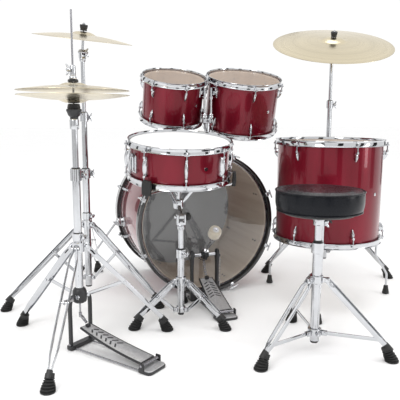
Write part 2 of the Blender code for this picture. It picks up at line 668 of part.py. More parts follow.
def heel_plate(heel, toward, across, width):
    """The plate under the heel, with two ears that hold the footboard's pin."""
    back, front = heel - toward * 0.020 + UP * 0.005, heel + toward * 0.034 + UP * 0.005
    solids = [bar(back, front, width + 0.016, 0.010, across)]
    for sign in (-1, 1):
        ear = heel + across * sign * (width / 2 + 0.0055)
        solids.append(bar(ear + UP * 0.004, ear + UP * 0.031, 0.005, 0.016, across))
    return solids


def footboard_solids(heel, toward, across, length, toe_z, width):
    """A sprung board hinged at the heel, rising to the toe, with its hinge pin."""
    pivot = heel + UP * HEEL_PIVOT_Z
    toe = heel - toward * length + UP * toe_z
    middle = pivot.lerp(toe, 0.55) - UP * 0.006
    board = swept([pivot, middle, toe], rectangle(width, 0.006), across)
    pin = rod(pivot - across * (width / 2 + 0.002), pivot + across * (width / 2 + 0.002), 0.005, 8)
    return [board, pin]


def cymbal_solid(radius, height, bell_radius, thick):
    """A hammered plate: a bell with a hole, a shallow bow and a thin edge at z = 0."""
    bell = height * 0.42
    upper = [(HOLE_RADIUS, height), (bell_radius * 0.55, height - bell * 0.22), (bell_radius, height - bell)]
    for share in (0.45, 1.0):
        r = bell_radius + (radius - bell_radius) * share
        upper.append((r, (height - bell) * (1 - share**1.5)))
    lower = [(r, z - thick) for r, z in reversed(upper)]
    return turned(upper + lower, 24)


def build_cymbal_stand(name, at, legs, pivot_z, normal, hole, radius, height, bell_radius, thick):
    place = Matrix.Translation(at)
    low, high = LOWER_CLAMP_Z[name], UPPER_CLAMP_Z[name]
    base = tripod(**legs)
    tubes = [(0, 0.050), (0.0143, 0.050), (0.0143, low), (0.0112, low), (0.0112, high), (0.0089, high),
             (0.0089, high - 0.250), (0, high - 0.250)]
    base.append(turned(tubes, 12))
    base.append(sleeve(0.0130, 0.0195, low - 0.032, low + 0.006))
    base.append(sleeve(0.0100, 0.0165, high - 0.034, high - 0.0005))
    base += wing_bolt(low - 0.014, 0.0195, 10) + wing_bolt(high - 0.018, 0.0165, 10)
    piece(f"{name}_stand_base", base, CHROME, at, place)
    pivot = at + UP * pivot_z
    hinge = UP.cross(normal).normalized()
    turn = math.degrees(math.atan2(hinge.y, hinge.x))
    upper = [
        rod((0, 0, high - 0.220), (0, 0, pivot_z - 0.018), 0.0080, 12),
        block((0.024, 0.016, 0.010), (0, 0, pivot_z - 0.019), turn),
        block((0.005, 0.016, 0.030), hinge * -0.0095 + UP * (pivot_z - 0.005), turn),
        block((0.005, 0.016, 0.030), hinge * 0.0095 + UP * (pivot_z - 0.005), turn),
    ]
    piece(f"{name}_upper_tube", upper, CHROME, at, place)
    stud = stood(pivot, normal)
    column = turned(
        [(0, 0.004), (0.0045, 0.004), (0.0045, hole - 0.022), (0.0190, hole - 0.018), (0.0190, hole - 0.015),
         (0.0110, hole - 0.012), (0.0110, hole - 0.0045), (0.0036, hole - 0.0040), (0.0036, hole + 0.0025),
         (0.0100, hole + 0.0025), (0.0100, hole + 0.011), (0.0040, hole + 0.012), (0.0040, hole + 0.034),
         (0, hole + 0.034)],
        12,
    )
    pin = rod(hinge * -0.0062, hinge * 0.0062, 0.0095, 10)
    wings = block((0.032, 0.004, 0.010), (0, 0, hole + 0.019))
    solids = [placed(column, stud), placed(wings, stud), placed(pin, Matrix.Translation(pivot))]
    piece(f"{name}_tilter", solids, CHROME, pivot)
    seat = stud @ Matrix.Translation((0, 0, hole - height + 0.0010))
    plate = [cymbal_solid(radius, height, bell_radius, thick)]
    piece(f"{name}_cymbal", plate, BRASS, stud @ Vector((0, 0, hole)), seat)


# ---- throne -----------------------------------------------------------------------------------------
def throne_points(bearing):
    """The leg's pivot, its foot, the brace's meeting point and the brace's pivot on the hub."""
    top = polar(THRONE_PIVOT_OUT, bearing, THRONE_PIVOT_Z)
    foot = polar(THRONE_REACH - 0.006, bearing, 0.036)
    return top, foot, top.lerp(foot, THRONE_BRACE_AT), polar(THRONE_PIVOT_OUT, bearing, THRONE_HUB_Z)


def build_throne():
    at = Matrix.Translation(THRONE_AT)
    column = [tube_cup(THRONE_TUBE, 0.0022, 0.030, 0.355, 0.045)]
    column.append(sleeve(0.0132, 0.0200, THRONE_PIVOT_Z - 0.010, THRONE_PIVOT_Z + 0.010))
    column.append(sleeve(0.0132, 0.0190, 0.322, 0.354))
    column += wing_bolt(0.338, 0.019, 100)
    for k in range(3):
        bearing = THRONE_BEARING + 120 * k
        lug = polar(THRONE_PIVOT_OUT - 0.005, bearing, THRONE_PIVOT_Z)
        column.append(block((0.026, 0.0100, 0.016), lug, bearing))
    piece("throne_column", column, CHROME, THRONE_AT, at)
    hub = [sleeve(THRONE_TUBE + 0.0009, 0.0220, THRONE_HUB_Z - 0.012, THRONE_HUB_Z + 0.012)]
    for k in range(3):
        bearing = THRONE_BEARING + 120 * k
        side = perpendicular(polar(1, bearing))
        for sign in (-1, 1):
            ear = polar(THRONE_PIVOT_OUT - 0.006, bearing, THRONE_HUB_Z) + side * sign * 0.0055
            hub.append(block((0.026, 0.0034, 0.014), ear, bearing))
    piece("throne_hub", hub, CHROME, THRONE_AT, at)
    for k in range(3):
        bearing = THRONE_BEARING + 120 * k
        side = perpendicular(polar(1, bearing))
        top, foot, joint, inner = throne_points(bearing)
        lean = (top - foot).normalized()
        leg = leg_strips(top + lean * 0.006, foot, side, 0.0072)
        leg += foot_solid(polar(THRONE_REACH, bearing), lean)
        leg.append(rod(top.lerp(foot, 0.94) - side * 0.008, top.lerp(foot, 0.94) + side * 0.008, 0.006, 6))
        piece(f"throne_leg_{k + 1}", leg, CHROME, THRONE_AT + top, at)
        reach = (joint - inner).normalized()
        brace = [bar(inner - reach * 0.006, joint - reach * 0.004, 0.0026, 0.012, side)]
        piece(f"throne_brace_{k + 1}", brace, CHROME, THRONE_AT + inner, at)
    under = SEAT_TOP - SEAT_THICK
    post = [
        rod((0, 0, 0.200), (0, 0, under - 0.026), 0.0110, 12),
        turned([(0, under - 0.034), (0.016, under - 0.034), (0.016, under - 0.020), (0.034, under - 0.009),
                (0, under - 0.009)], 14),
        *wing_bolt(under - 0.024, 0.018, 345),
    ]
    piece("throne_post", post, CHROME, THRONE_AT, at)
    rim = SEAT_RADIUS
    seat = [(0, under - GAP), (rim - 0.012, under), (rim - 0.002, under + 0.008), (rim, under + 0.050),
            (rim - 0.006, SEAT_TOP - 0.006), (rim - 0.024, SEAT_TOP), (0, SEAT_TOP)]
    plate = [turned(seat, 32), block((0.070, 0.070, 0.010), (0, 0, under - 0.0035))]
    piece("throne_seat", plate, VINYL, THRONE_AT + UP * under, at)


# ---- bass pedal -------------------------------------------------------------------------------------
def build_bass_pedal():
    at = Matrix.Translation(PEDAL_AT)
    heel = Vector((0, PEDAL_HEEL_Y - PEDAL_AT.y, 0))
    toward, across = Vector((0, -1, 0)), Vector((1, 0, 0))
    frame = [bar((-0.062, 0.020, 0.006), (0.062, 0.020, 0.006), 0.050, 0.011, Vector((0, 1, 0)))]
    for sign in (-1, 1):
        foot, head = Vector((sign * PEDAL_HALF, 0, 0.004)), Vector((sign * PEDAL_HALF, 0, AXLE_Z + 0.020))
        frame.append(bar(foot, head, 0.009, 0.024, across))
        rail = across * sign * 0.030 + UP * 0.0055
        frame.append(rod(rail, heel + rail, 0.0026, 6))
    frame += heel_plate(heel, toward, across, 0.070)
    made = piece("bass_pedal_frame", frame, BLACK, PEDAL_AT, at)
    drill(made, placed(axle_bore(), at))
    board = footboard_solids(heel, toward, across, -heel.y - 0.016, PEDAL_TOE_Z, 0.070)
    piece("bass_pedal_footboard", board, SILVER, PEDAL_AT + heel + UP * HEEL_PIVOT_Z, at)
    axle = Vector((0, 0, AXLE_Z))
    ball = axle + BEATER_REACH
    shaft = BEATER_REACH.normalized()
    drum_side = perpendicular(shaft).cross(shaft)
    face = Vector((0, abs(drum_side.y), 0)) + UP * (drum_side.z if drum_side.y > 0 else -drum_side.z)
    beater = [
        rod(axle - across * (PEDAL_HALF + 0.010), axle + across * (PEDAL_HALF + 0.010), 0.0048, 10),
        rod(axle - across * 0.012, axle + across * 0.012, 0.022, 14),
        rod(axle, ball, 0.0035, 8),
        rod(ball - face * 0.020, ball + face * 0.020, 0.024, 14),
    ]
    piece("bass_pedal_beater", beater, BLACK, PEDAL_AT + axle, at)


def axle_bore():
    start = Vector((-PEDAL_HALF - 0.02, 0, AXLE_Z))
    return rod(start, start + Vector((2 * PEDAL_HALF + 0.04, 0, 0)), 0.0062, 10)


# ---- the kit ----------------------------------------------------------------------------------------
def centre_on_floor():
    """Moves the kit so that the bottom centre of its box is the origin."""
    bpy.context.view_layer.update()
    corners = [o.matrix_world @ v.co for o in KIT.children for v in o.data.vertices]
    low = [min(c[axis] for c in corners) for axis in range(3)]
    high = [max(c[axis] for c in corners) for axis in range(3)]
    KIT.location = (-(low[0] + high[0]) / 2, -(low[1] + high[1]) / 2, -low[2])
    bpy.context.view_layer.update()


def build():
    build_bass_drum()
    build_spur("bass_spur_left", -1)
    build_spur("bass_spur_right", 1)
    build_tom_holder()
    build_toms()
    build_floor_tom()
    build_snare()
    build_snare_stand()
    build_hihat()
    crash = (CRASH_AT, CRASH_TRIPOD, CRASH_PIVOT_Z, CRASH_NORMAL, CRASH_HOLE)
    build_cymbal_stand("crash", *crash, CRASH_RADIUS, 0.030, 0.050, 0.0014)
    ride = (RIDE_AT, RIDE_TRIPOD, RIDE_PIVOT_Z, RIDE_NORMAL, RIDE_HOLE)
    build_cymbal_stand("ride", *ride, RIDE_RADIUS, 0.038, 0.060, 0.0018)
    build_throne()
    build_bass_pedal()
    centre_on_floor()


for existing in list(bpy.data.objects):
    bpy.data.objects.remove(existing)
KIT = bpy.data.objects.new("kit", None)
bpy.context.scene.collection.objects.link(KIT)
build()
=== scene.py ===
"""The looks of the five-drum kit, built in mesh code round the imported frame.

Every piece is made in metres in the frame's own place, rides on the body it belongs to and stands for
the plain node that holds its collision.  Places come from the frame's boxes and joints.
"""

import json
import math

import bmesh
import bpy
from mathutils import Matrix, Vector


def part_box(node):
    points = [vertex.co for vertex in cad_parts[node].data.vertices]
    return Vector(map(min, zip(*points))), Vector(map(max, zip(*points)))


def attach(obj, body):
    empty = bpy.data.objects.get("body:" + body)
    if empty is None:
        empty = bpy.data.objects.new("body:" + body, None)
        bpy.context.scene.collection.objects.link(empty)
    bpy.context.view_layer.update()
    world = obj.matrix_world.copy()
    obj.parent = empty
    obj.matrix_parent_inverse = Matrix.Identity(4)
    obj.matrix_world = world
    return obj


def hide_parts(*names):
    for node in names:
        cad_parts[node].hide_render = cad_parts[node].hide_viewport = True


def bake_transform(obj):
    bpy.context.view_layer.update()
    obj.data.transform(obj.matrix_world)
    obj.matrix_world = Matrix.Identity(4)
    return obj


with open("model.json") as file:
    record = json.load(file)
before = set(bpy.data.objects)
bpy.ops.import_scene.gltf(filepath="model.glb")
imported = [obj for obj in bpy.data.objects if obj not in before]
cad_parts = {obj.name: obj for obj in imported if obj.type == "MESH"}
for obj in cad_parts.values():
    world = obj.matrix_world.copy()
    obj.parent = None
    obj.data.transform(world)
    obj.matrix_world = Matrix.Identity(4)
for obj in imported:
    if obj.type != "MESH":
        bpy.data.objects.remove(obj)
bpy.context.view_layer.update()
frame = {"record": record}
JOINTS = {joint["name"]: joint for joint in frame["record"]["behaviour"]["joints"]}
UP = Vector((0, 0, 1))
ALONG = Vector((0, 1, 0))
ACROSS = Vector((1, 0, 0))
INCH = 0.0254

# ---- sizes the frame's boxes don't give ----------------------------------------------------------------
# film with its flesh ring: height; shell wall, flesh ring's reach past the shell
HEAD_HEIGHT = 0.0105
SHELL_WALL, FLESH_RING = 0.0065, 0.0040
CYMBAL_THICK = 0.0013
CHAIN_PITCH = 0.0110
LEG_WIDTH = 0.0155
PIN_EDGE = 0.0006
# outer radii of the tubes
HAT_TUBE, SNARE_TUBE, SNARE_POST_TUBE = 0.0127, 0.0126, 0.0095
STAND_TUBE, STAND_MIDDLE_TUBE, STAND_UPPER_TUBE = 0.0143, 0.0111, 0.0080
BASS_RADIUS, BASS_DEPTH = 11 * INCH, 16 * INCH
TOMS = {
    "tom_1": dict(radius=5 * INCH, depth=7 * INCH, normal=(-0.018, -0.318, 0.948), bearing=273.9, drop=0.046),
    "tom_2": dict(
        radius=6 * INCH, depth=8.5 * INCH, normal=(-0.033, -0.288, 0.957), bearing=262.7, drop=0.046
    ),
    "floor_tom": dict(radius=8 * INCH, depth=15 * INCH, normal=(0, 0, 1), bearing=262.7, drop=0.050)
}
SNARE = dict(radius=7 * INCH, depth=5 * INCH, normal=(-0.020, -0.145, 0.989), bearing=258.4, strainer=190.9)
HIHAT_TRIPOD = dict(reach=0.302, bearing=244.5, top=0.330, hub=0.172, tube=HAT_TUBE, fold=0.45)
CRASH_TRIPOD = dict(reach=0.338, bearing=193.3, top=0.302, hub=0.078, tube=STAND_TUBE, fold=0.38)
RIDE_TRIPOD = dict(reach=0.328, bearing=180.8, top=0.302, hub=0.078, tube=STAND_TUBE, fold=0.38)
SNARE_TRIPOD = dict(reach=0.185, bearing=188.9, top=0.148, hub=0.042, tube=0.0127, fold=0.42)
STANDS = {
    "crash": dict(
        legs=CRASH_TRIPOD, low=0.528, high=0.752, hole=0.078, radius=7.5 * INCH, height=0.030, bell=0.050,
        normal=(0.063, -0.152, 0.986),
    ),
    "ride": dict(
        legs=RIDE_TRIPOD, low=0.560, high=0.815, hole=0.072, radius=11 * INCH, height=0.038, bell=0.060,
        normal=(-0.152, -0.357, 0.922),
    ),
}
THRONE_BEARING, THRONE_REACH, THRONE_TUBE = 197.2, 0.238, STAND_TUBE
FLOOR_LEG_BEARINGS = (232.7, 352.7, 112.7)
FLOOR_FOOT_OUT = 0.286
HAT_RADIUS = 6.65 * INCH
HAT_PEDAL_BEARING = 305.0
SEAT_RADIUS, SEAT_THICK = 0.140, 0.074
SEAT_VOXEL, SEAT_FRAMES = 0.005, 20

# ---- camera: place and direction the photograph was taken from, measured from the batter hoop ------------
CAMERA_FROM_BASS = Vector((-0.812, -2.040, 0.744))
CAMERA_HEADING, CAMERA_PITCH, CAMERA_ROLL = 20.8, 8.93, 0.27
CAMERA_LENS, SENSOR_WIDTH = 48.5, 36

# ---- studio: lights with place, size and power, and dark flags with bearing and width --------------------
SKY_STRENGTH = 1.03
LIGHT_AIM = Vector((0, 0, 0.5))
LIGHTS = (
    ("key", (-2.8, -2.2, 2.6), (1.2, 1.8), 42), ("fill", (2.8, -2.4, 1.6), (0.5, 2.4), 22),
    ("top", (0.2, -0.4, 3.6), (2.4, 2.4), 40),
)
FLAGS = (
    (262, 0.80), (226, 0.50), (306, 0.55), (338, 0.80), (186, 0.60), (20, 0.70), (60, 0.45), (118, 0.80),
    (152, 0.45)
)
FLAG_DISTANCE, FLAG_LOW, FLAG_HIGH = 4.2, 0.05, 2.8
FLOOR_REACH, FLOOR_LEVEL = 30.0, -0.0004


# ---- places --------------------------------------------------------------------------------------------
moved = Matrix.Translation
TURNED_OVER = Matrix.Rotation(math.pi, 4, "X")


def spun(bearing):
    return Matrix.Rotation(math.radians(bearing), 4, "Z")


def polar(radius, bearing, height=0.0):
    a = math.radians(bearing)
    return Vector((radius * math.cos(a), radius * math.sin(a), height))


def stood(at, normal):
    """A place whose origin is at and whose Z axis points along normal."""
    turn = UP.rotation_difference(Vector(normal).normalized()).to_matrix().to_4x4()
    return moved(at) @ turn


def centre(node):
    low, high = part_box(node)
    return (Vector(low) + Vector(high)) / 2


def pivot(joint):
    return Vector(JOINTS[joint]["pos_m"])


def sideways(direction):
    direction = Vector(direction).normalized()
    return direction.cross(UP if abs(direction.z) < 0.9 else ACROSS).normalized()


def lerp(a, b, t):
    return a + (b - a) * t


def curve(points, steps):
    """A smooth curve through the points."""
    points = [Vector(p) for p in points]
    padded = [points[0] * 2 - points[1], *points, points[-1] * 2 - points[-2]]
    out = []
    for a, b, c, d in zip(padded, padded[1:], padded[2:], padded[3:]):
        for k in range(steps):
            t = k / steps
            out.append(
                0.5 * (
                    2 * b + (c - a) * t + (2 * a - 5 * b + 4 * c - d) * t**2 + (3 * b - a - 3 * c + d) * t**3
                )
            )
    return out + [points[-1]]


def linked(made):
    bpy.context.scene.collection.objects.link(made)
    return made


# ---- sections ------------------------------------------------------------------------------------------
def circle(radius, sides):
    turns = (math.tau * k / sides for k in range(sides))
    return [(radius * math.cos(a), radius * math.sin(a)) for a in turns]


def rounded(width, height, corner, steps=3):
    """The outline of a rectangle with round corners."""
    corner = min(corner, width / 2 - 1e-5, height / 2 - 1e-5)
    out = []
    for quarter, (x, y) in enumerate(((1, 1), (-1, 1), (-1, -1), (1, -1))):
        for k in range(steps + 1):
            a = math.radians(90 * (quarter + k / steps))
            out.append(
                (
                    x * (width / 2 - corner) + corner * math.cos(a),
                    y * (height / 2 - corner) + corner * math.sin(a)
                )
            )
    return out


# ---- pieces --------------------------------------------------------------------------------------------
class Piece:
    """One visible object, made of several shapes that each have a finish."""

    def __init__(self, name, place=None):
        self.name = name
        self.place = place or Matrix()
        self.mesh = bmesh.new()
        self.finishes = []

    def loft(self, rings, finish, loop=False, caps=True):
        """Skins a row of rings.  A ring of one point closes the row to a tip."""
        if finish not in self.finishes:
            self.finishes.append(finish)
        index = self.finishes.index(finish)
        rows = [[self.mesh.verts.new(p) for p in ring] for ring in rings]
        pairs = list(zip(rows, rows[1:]))
        if loop:
            pairs.append((rows[-1], rows[0]))
        faces = []
        for low, high in pairs:
            count = max(len(low), len(high))
            for k in range(count):
                corners = [low[k % len(low)], low[(k + 1) % len(low)]]
                corners += [high[(k + 1) % len(high)], high[k % len(high)]]
                corners = list(dict.fromkeys(corners))
                if len(corners) > 2:
                    faces.append(self.mesh.faces.new(corners))
        if caps and not loop:
            faces += [self.mesh.faces.new(row) for row in (rows[0], rows[-1]) if len(row) > 2]
        for face in faces:
            face.material_index = index

    def lathe(self, profile, finish, place=None, sides=40, loop=False):
        """A solid of revolution about the place's Z axis."""
        place = place or Matrix()
        rings = []
        for radius, height in profile:
            if radius < 1e-7:
                rings.append([place @ Vector((0, 0, height))])
            else:
                rings.append([place @ Vector((x, y, height)) for x, y in circle(radius, sides)])
        self.loft(rings, finish, loop, caps=False)

    def tube(self, points, radius, finish, sides=14, outline=None, loop=False):
        """A round bar along a path, or any outline carried along it without twist."""
        points = [Vector(p) for p in points]
        outline = outline or circle(1, sides)
        across, rings = None, []
        for k, here in enumerate(points):
            before = points[k - 1] if k or loop else here * 2 - points[1]
            after = points[(k + 1) % len(points)] if k + 1 < len(points) or loop else here * 2 - points[k - 1]
            along = (after - before).normalized()
            across = sideways(along) if across is None else (across - along * across.dot(along)).normalized()
            up = along.cross(across)
            rings.append([here + across * (x * radius) + up * (y * radius) for x, y in outline])
        self.loft(rings, finish, loop)

    def strip(self, points, width, thickness, side, finish, corner=0.0006):
        """A flat bar along a path: its width stands across the side direction."""
        side = Vector(side).normalized()
        points = [Vector(p) for p in points]
        outline, rings = rounded(thickness, width, corner, 2), []
        for k, here in enumerate(points):
            before, after = points[max(k - 1, 0)], points[min(k + 1, len(points) - 1)]
            across = side.cross((after - before).normalized()).normalized()
            rings.append([here + side * x + across * y for x, y in outline])
        self.loft(rings, finish)

    def slab(self, size, place, finish, corner=0.002, soft=0.0008):
        """A block with round upright corners and softened ends."""
        x, y, z = size
        rings = []
        for height, inset in ((-z / 2, soft), (-z / 2 + soft, 0), (z / 2 - soft, 0), (z / 2, soft)):
            outline = rounded(x - 2 * inset, y - 2 * inset, max(corner - inset, 0.0003))
            rings.append([place @ Vector((a, b, height)) for a, b in outline])
        self.loft(rings, finish)

    def pin(self, start, end, radius, finish, sides=14):
        """A short round bar with softened ends."""
        start, end = Vector(start), Vector(end)
        length = (end - start).length
        soft = min(PIN_EDGE, radius / 2, length / 3)
        profile = [
            (0, 0), (radius - soft, 0), (radius, soft), (radius, length - soft), (radius - soft, length),
            (0, length)
        ]
        self.lathe(profile, finish, stood(start, end - start), sides)

    def axle(self, middle, along, half, radius, finish, sides=14):
        """A pin that reaches as far on both sides of its middle."""
        self.pin(middle - along * half, middle + along * half, radius, finish, sides)

    def nut(self, at, direction, radius, height, finish, sides=6):
        profile = [(0, 0), (radius, 0), (radius, height * 0.8), (radius * 0.86, height), (0, height)]
        self.lathe(profile, finish, stood(at, direction), sides)

    def nut_pair(self, middle, along, half, radius, height, finish):
        """A round nut on each side, facing outward."""
        self.nut(middle + along * half, along, radius, height, finish, 12)
        self.nut(middle - along * half, -along, radius, height, finish, 12)

    def wing_nut(self, at, direction, wings, finish, size=1.0):
        """A boss with two upswept wings; direction is the bolt's axis."""
        at, direction, wings = Vector(at), Vector(direction).normalized(), Vector(wings).normalized()
        boss = [(0, 0), (0.0062, 0), (0.0066, 0.002), (0.0052, 0.011), (0.0038, 0.0125), (0, 0.0125)]
        self.lathe([(r * size, z * size) for r, z in boss], finish, stood(at, direction), 14)
        flat = direction.cross(wings).normalized()
        for sign in (-1, 1):
            rings = []
            for out, rise, tall, thick in (
                (0.0030, 0.0050, 0.0040, 0.0021), (0.0080, 0.0072, 0.0044, 0.0018),
                (0.0125, 0.0100, 0.0048, 0.0015), (0.0160, 0.0122, 0.0040, 0.0013),
                (0.0178, 0.0134, 0.0016, 0.0008)
            ):
                middle = at + wings * (sign * out * size) + direction * (rise * size)
                rings.append(
                    [
                        middle + direction * (x * tall * size) + flat * (y * thick * size) for x,
                        y in circle(1, 10)
                    ]
                )
            self.loft(rings, finish)

    def done(self, body, *nodes, slot=None, sharp=38):
        """Makes the object, gives it to its body, if it has one, and hides the nodes it stands for."""
        bmesh.ops.recalc_face_normals(self.mesh, faces=self.mesh.faces)
        data = bpy.data.meshes.new(self.name)
        self.mesh.to_mesh(data)
        self.mesh.free()
        made = linked(bpy.data.objects.new(self.name, data))
        made.matrix_world = self.place
        for finish in self.finishes:
            data.materials.append(finish)
        data.shade_smooth()
        data.set_sharp_from_angle(angle=math.radians(sharp))
        if body:
            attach(made, body)
        if nodes:
            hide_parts(*nodes)
        return made


# ---- finishes ------------------------------------------------------------------------------------------
class Finish:
    """Builds a Principled material whose colour, roughness and relief come from nodes."""

    def __init__(self, name, **constants):
        self.made = bpy.data.materials.new(name)
        self.made.use_nodes = True
        self.nodes, self.links = self.made.node_tree.nodes, self.made.node_tree.links
        self.shader = self.nodes["Principled BSDF"]
        for socket, value in constants.items():
            self.shader.inputs[socket.replace("_", " ")].default_value = value
        self.place = self.nodes.new("ShaderNodeTexCoord").outputs["Object"]

    def node(self, kind, **settings):
        made = self.nodes.new("ShaderNode" + kind)
        for key, value in settings.items():
            if key in made.inputs:
                made.inputs[key].default_value = value
            else:
                setattr(made, key, value)
        return made

    def noise(self, scale, detail=3.0, stretch=(1, 1, 1)):
        sized = self.node("Mapping")
        sized.inputs["Scale"].default_value = stretch
        self.links.new(self.place, sized.inputs["Vector"])
        made = self.node("TexNoise", Scale=scale, Detail=detail)
        self.links.new(sized.outputs["Vector"], made.inputs["Vector"])
        return made.outputs["Fac"]

    def tint(self, value, dark, light, low=0.3, high=0.7):
        """Spreads a 0 to 1 value between two colours of the surface."""
        made = self.node("ValToRGB")
        for element, position, color in zip(made.color_ramp.elements, (low, high), (dark, light)):
            element.position, element.color = position, (*color, 1)
        self.links.new(value, made.inputs["Fac"])
        self.links.new(made.outputs["Color"], self.shader.inputs["Base Color"])

    def grey(self, value, low, high, socket):
        """Spreads a 0 to 1 value between two numbers on a socket."""
        made = self.node("MapRange")
        made.inputs["From Min"].default_value, made.inputs["From Max"].default_value = 0.3, 0.7
        made.inputs["To Min"].default_value, made.inputs["To Max"].default_value = low, high
        self.links.new(value, made.inputs["Value"])
        self.links.new(made.outputs["Result"], self.shader.inputs[socket])

    def relief(self, value, strength, distance):
        made = self.node("Bump", Strength=strength, Distance=distance)
        self.links.new(value, made.inputs["Height"])
        self.links.new(made.outputs["Normal"], self.shader.inputs["Normal"])


def dimmed(color, share):
    return [c * share for c in color]


def chrome_finish(name, color, low, high):
    finish = Finish(name, Metallic=1.0)
    dust = finish.noise(45.0, 4.0)
    finish.tint(dust, dimmed(color, 0.93), color, 0.35, 0.65)
    finish.grey(dust, low, high, "Roughness")
    finish.relief(finish.noise(420.0, 2.0), 0.03, 0.0004)
    return finish.made


def lacquer_finish():
    """Wine-red candy lacquer: fine metal flake under a thick clear coat."""
    finish = Finish(
        "candy_lacquer", Metallic=0.45, Roughness=0.30, Specular_IOR_Level=0.15, Coat_Weight=1.0,
        Coat_Roughness=0.03, Coat_IOR=1.30
    )
    cloud = finish.noise(9.0, 3.0, (1, 1, 0.35))
    finish.tint(cloud, (0.135, 0.004, 0.012), (0.205, 0.008, 0.022))
    finish.relief(finish.noise(2600.0, 1.0), 0.10, 0.0002)
    return finish.made


def wood_finish(name, dark, light):
    finish = Finish(name, Roughness=0.48)
    grain = finish.noise(26.0, 6.0, (1, 1, 0.06))
    finish.tint(grain, dark, light)
    finish.relief(grain, 0.25, 0.0006)
    return finish.made


def film_finish(name, color, alpha, rough, gloss, coat=1.5):
    """Drum film: clear or smoky plastic, a little cloudy and faintly uneven."""
    finish = Finish(
        name, Alpha=alpha, Specular_IOR_Level=0.35 + 0.3 * gloss, Coat_Weight=gloss, Coat_Roughness=0.015,
        Coat_IOR=coat
    )
    haze = finish.noise(7.0, 3.0)
    finish.tint(haze, dimmed(color, 0.90), color)
    finish.grey(haze, rough, rough + 0.06, "Roughness")
    finish.relief(finish.noise(30.0, 2.0), 0.02, 0.001)
    return finish.made


def coated_finish():
    """White sprayed coating with a fine tooth."""
    finish = Finish("coated_film", Roughness=0.62)
    tooth = finish.noise(950.0, 4.0)
    finish.tint(finish.noise(5.0, 3.0), (0.80, 0.80, 0.80), (0.87, 0.87, 0.86))
    finish.relief(tooth, 0.35, 0.0005)
    return finish.made


def plain_finish(name, color, rough, grain, depth, **more):
    finish = Finish(name, **more)
    spread = finish.noise(grain, 4.0)
    finish.tint(spread, dimmed(color, 0.75), color)
    finish.grey(spread, rough - 0.06, rough + 0.06, "Roughness")
    finish.relief(spread, 0.4, depth)
    return finish.made


def bronze_finish(name, color, axis):
    """Lathed cymbal alloy: fine rings of tool marks round the cymbal's axis, and soft broad tonal rings."""
    finish = Finish(name, Metallic=1.0, Anisotropic=0.55)
    around = finish.node("VectorMath", operation="CROSS_PRODUCT")
    around.inputs[1].default_value = axis
    finish.links.new(finish.place, around.inputs[0])
    finish.links.new(around.outputs["Vector"], finish.shader.inputs["Tangent"])
    radius = finish.node("VectorMath", operation="LENGTH")
    finish.links.new(around.outputs["Vector"], radius.inputs[0])
    rings = finish.node("TexNoise", noise_dimensions="1D", Scale=300.0, Detail=5.0)
    finish.links.new(radius.outputs["Value"], rings.inputs["W"])
    broad = finish.node("TexNoise", noise_dimensions="1D", Scale=30.0, Detail=2.0)
    finish.links.new(radius.outputs["Value"], broad.inputs["W"])
    finish.tint(broad.outputs["Fac"], dimmed(color, 0.88), color)
    finish.grey(rings.outputs["Fac"], 0.20, 0.32, "Roughness")
    finish.relief(rings.outputs["Fac"], 0.18, 0.0003)
    return finish.made


CHROME = chrome_finish("chrome", (0.58, 0.59, 0.61), 0.04, 0.09)
STEEL = chrome_finish("brushed_steel", (0.34, 0.34, 0.36), 0.20, 0.32)
NICKEL = chrome_finish("spring_steel", (0.46, 0.46, 0.48), 0.14, 0.22)
RED = lacquer_finish()
MAPLE = wood_finish("inner_ply", (0.44, 0.32, 0.23), (0.62, 0.49, 0.37))
# The bass drum's inside is the same maple ply painted lighter: painted light standing in for the light that
# the films keep out of the drum.
MAPLE_PAINTED_LIGHT = wood_finish("bass_inner_ply_painted_light", (0.70, 0.58, 0.47), (0.90, 0.80, 0.68))
CLEAR = film_finish("clear_film", (0.50, 0.42, 0.36), 0.45, 0.30, 0.0)
SMOKE = film_finish("smoky_film", (0.050, 0.048, 0.050), 0.34, 0.06, 1.0, 2.3)
DARK_FILM = film_finish("front_film", (0.060, 0.063, 0.072), 0.93, 0.16, 0.4)
COATED = coated_finish()
BLACK = plain_finish(
    "black_gloss", (0.016, 0.016, 0.017), 0.20, 60.0, 0.0002, Coat_Weight=0.8, Coat_Roughness=0.05
)
ENAMEL = plain_finish("black_enamel", (0.020, 0.020, 0.022), 0.38, 220.0, 0.0003)
NYLON = plain_finish("black_nylon", (0.018, 0.018, 0.018), 0.45, 300.0, 0.0002)
RUBBER = plain_finish("black_rubber", (0.014, 0.014, 0.014), 0.66, 380.0, 0.0004)
FELT = plain_finish("black_felt", (0.012, 0.012, 0.013), 0.92, 700.0, 0.0012, Sheen_Weight=0.4)
CREAM_FELT = plain_finish("beater_felt", (0.52, 0.47, 0.38), 0.90, 620.0, 0.0012, Sheen_Weight=0.5)
CAST = plain_finish("cast_silver", (0.56, 0.56, 0.57), 0.40, 160.0, 0.0003, Metallic=0.55)
VINYL = plain_finish("seat_vinyl", (0.005, 0.006, 0.009), 0.26, 520.0, 0.0002, Specular_IOR_Level=0.20)


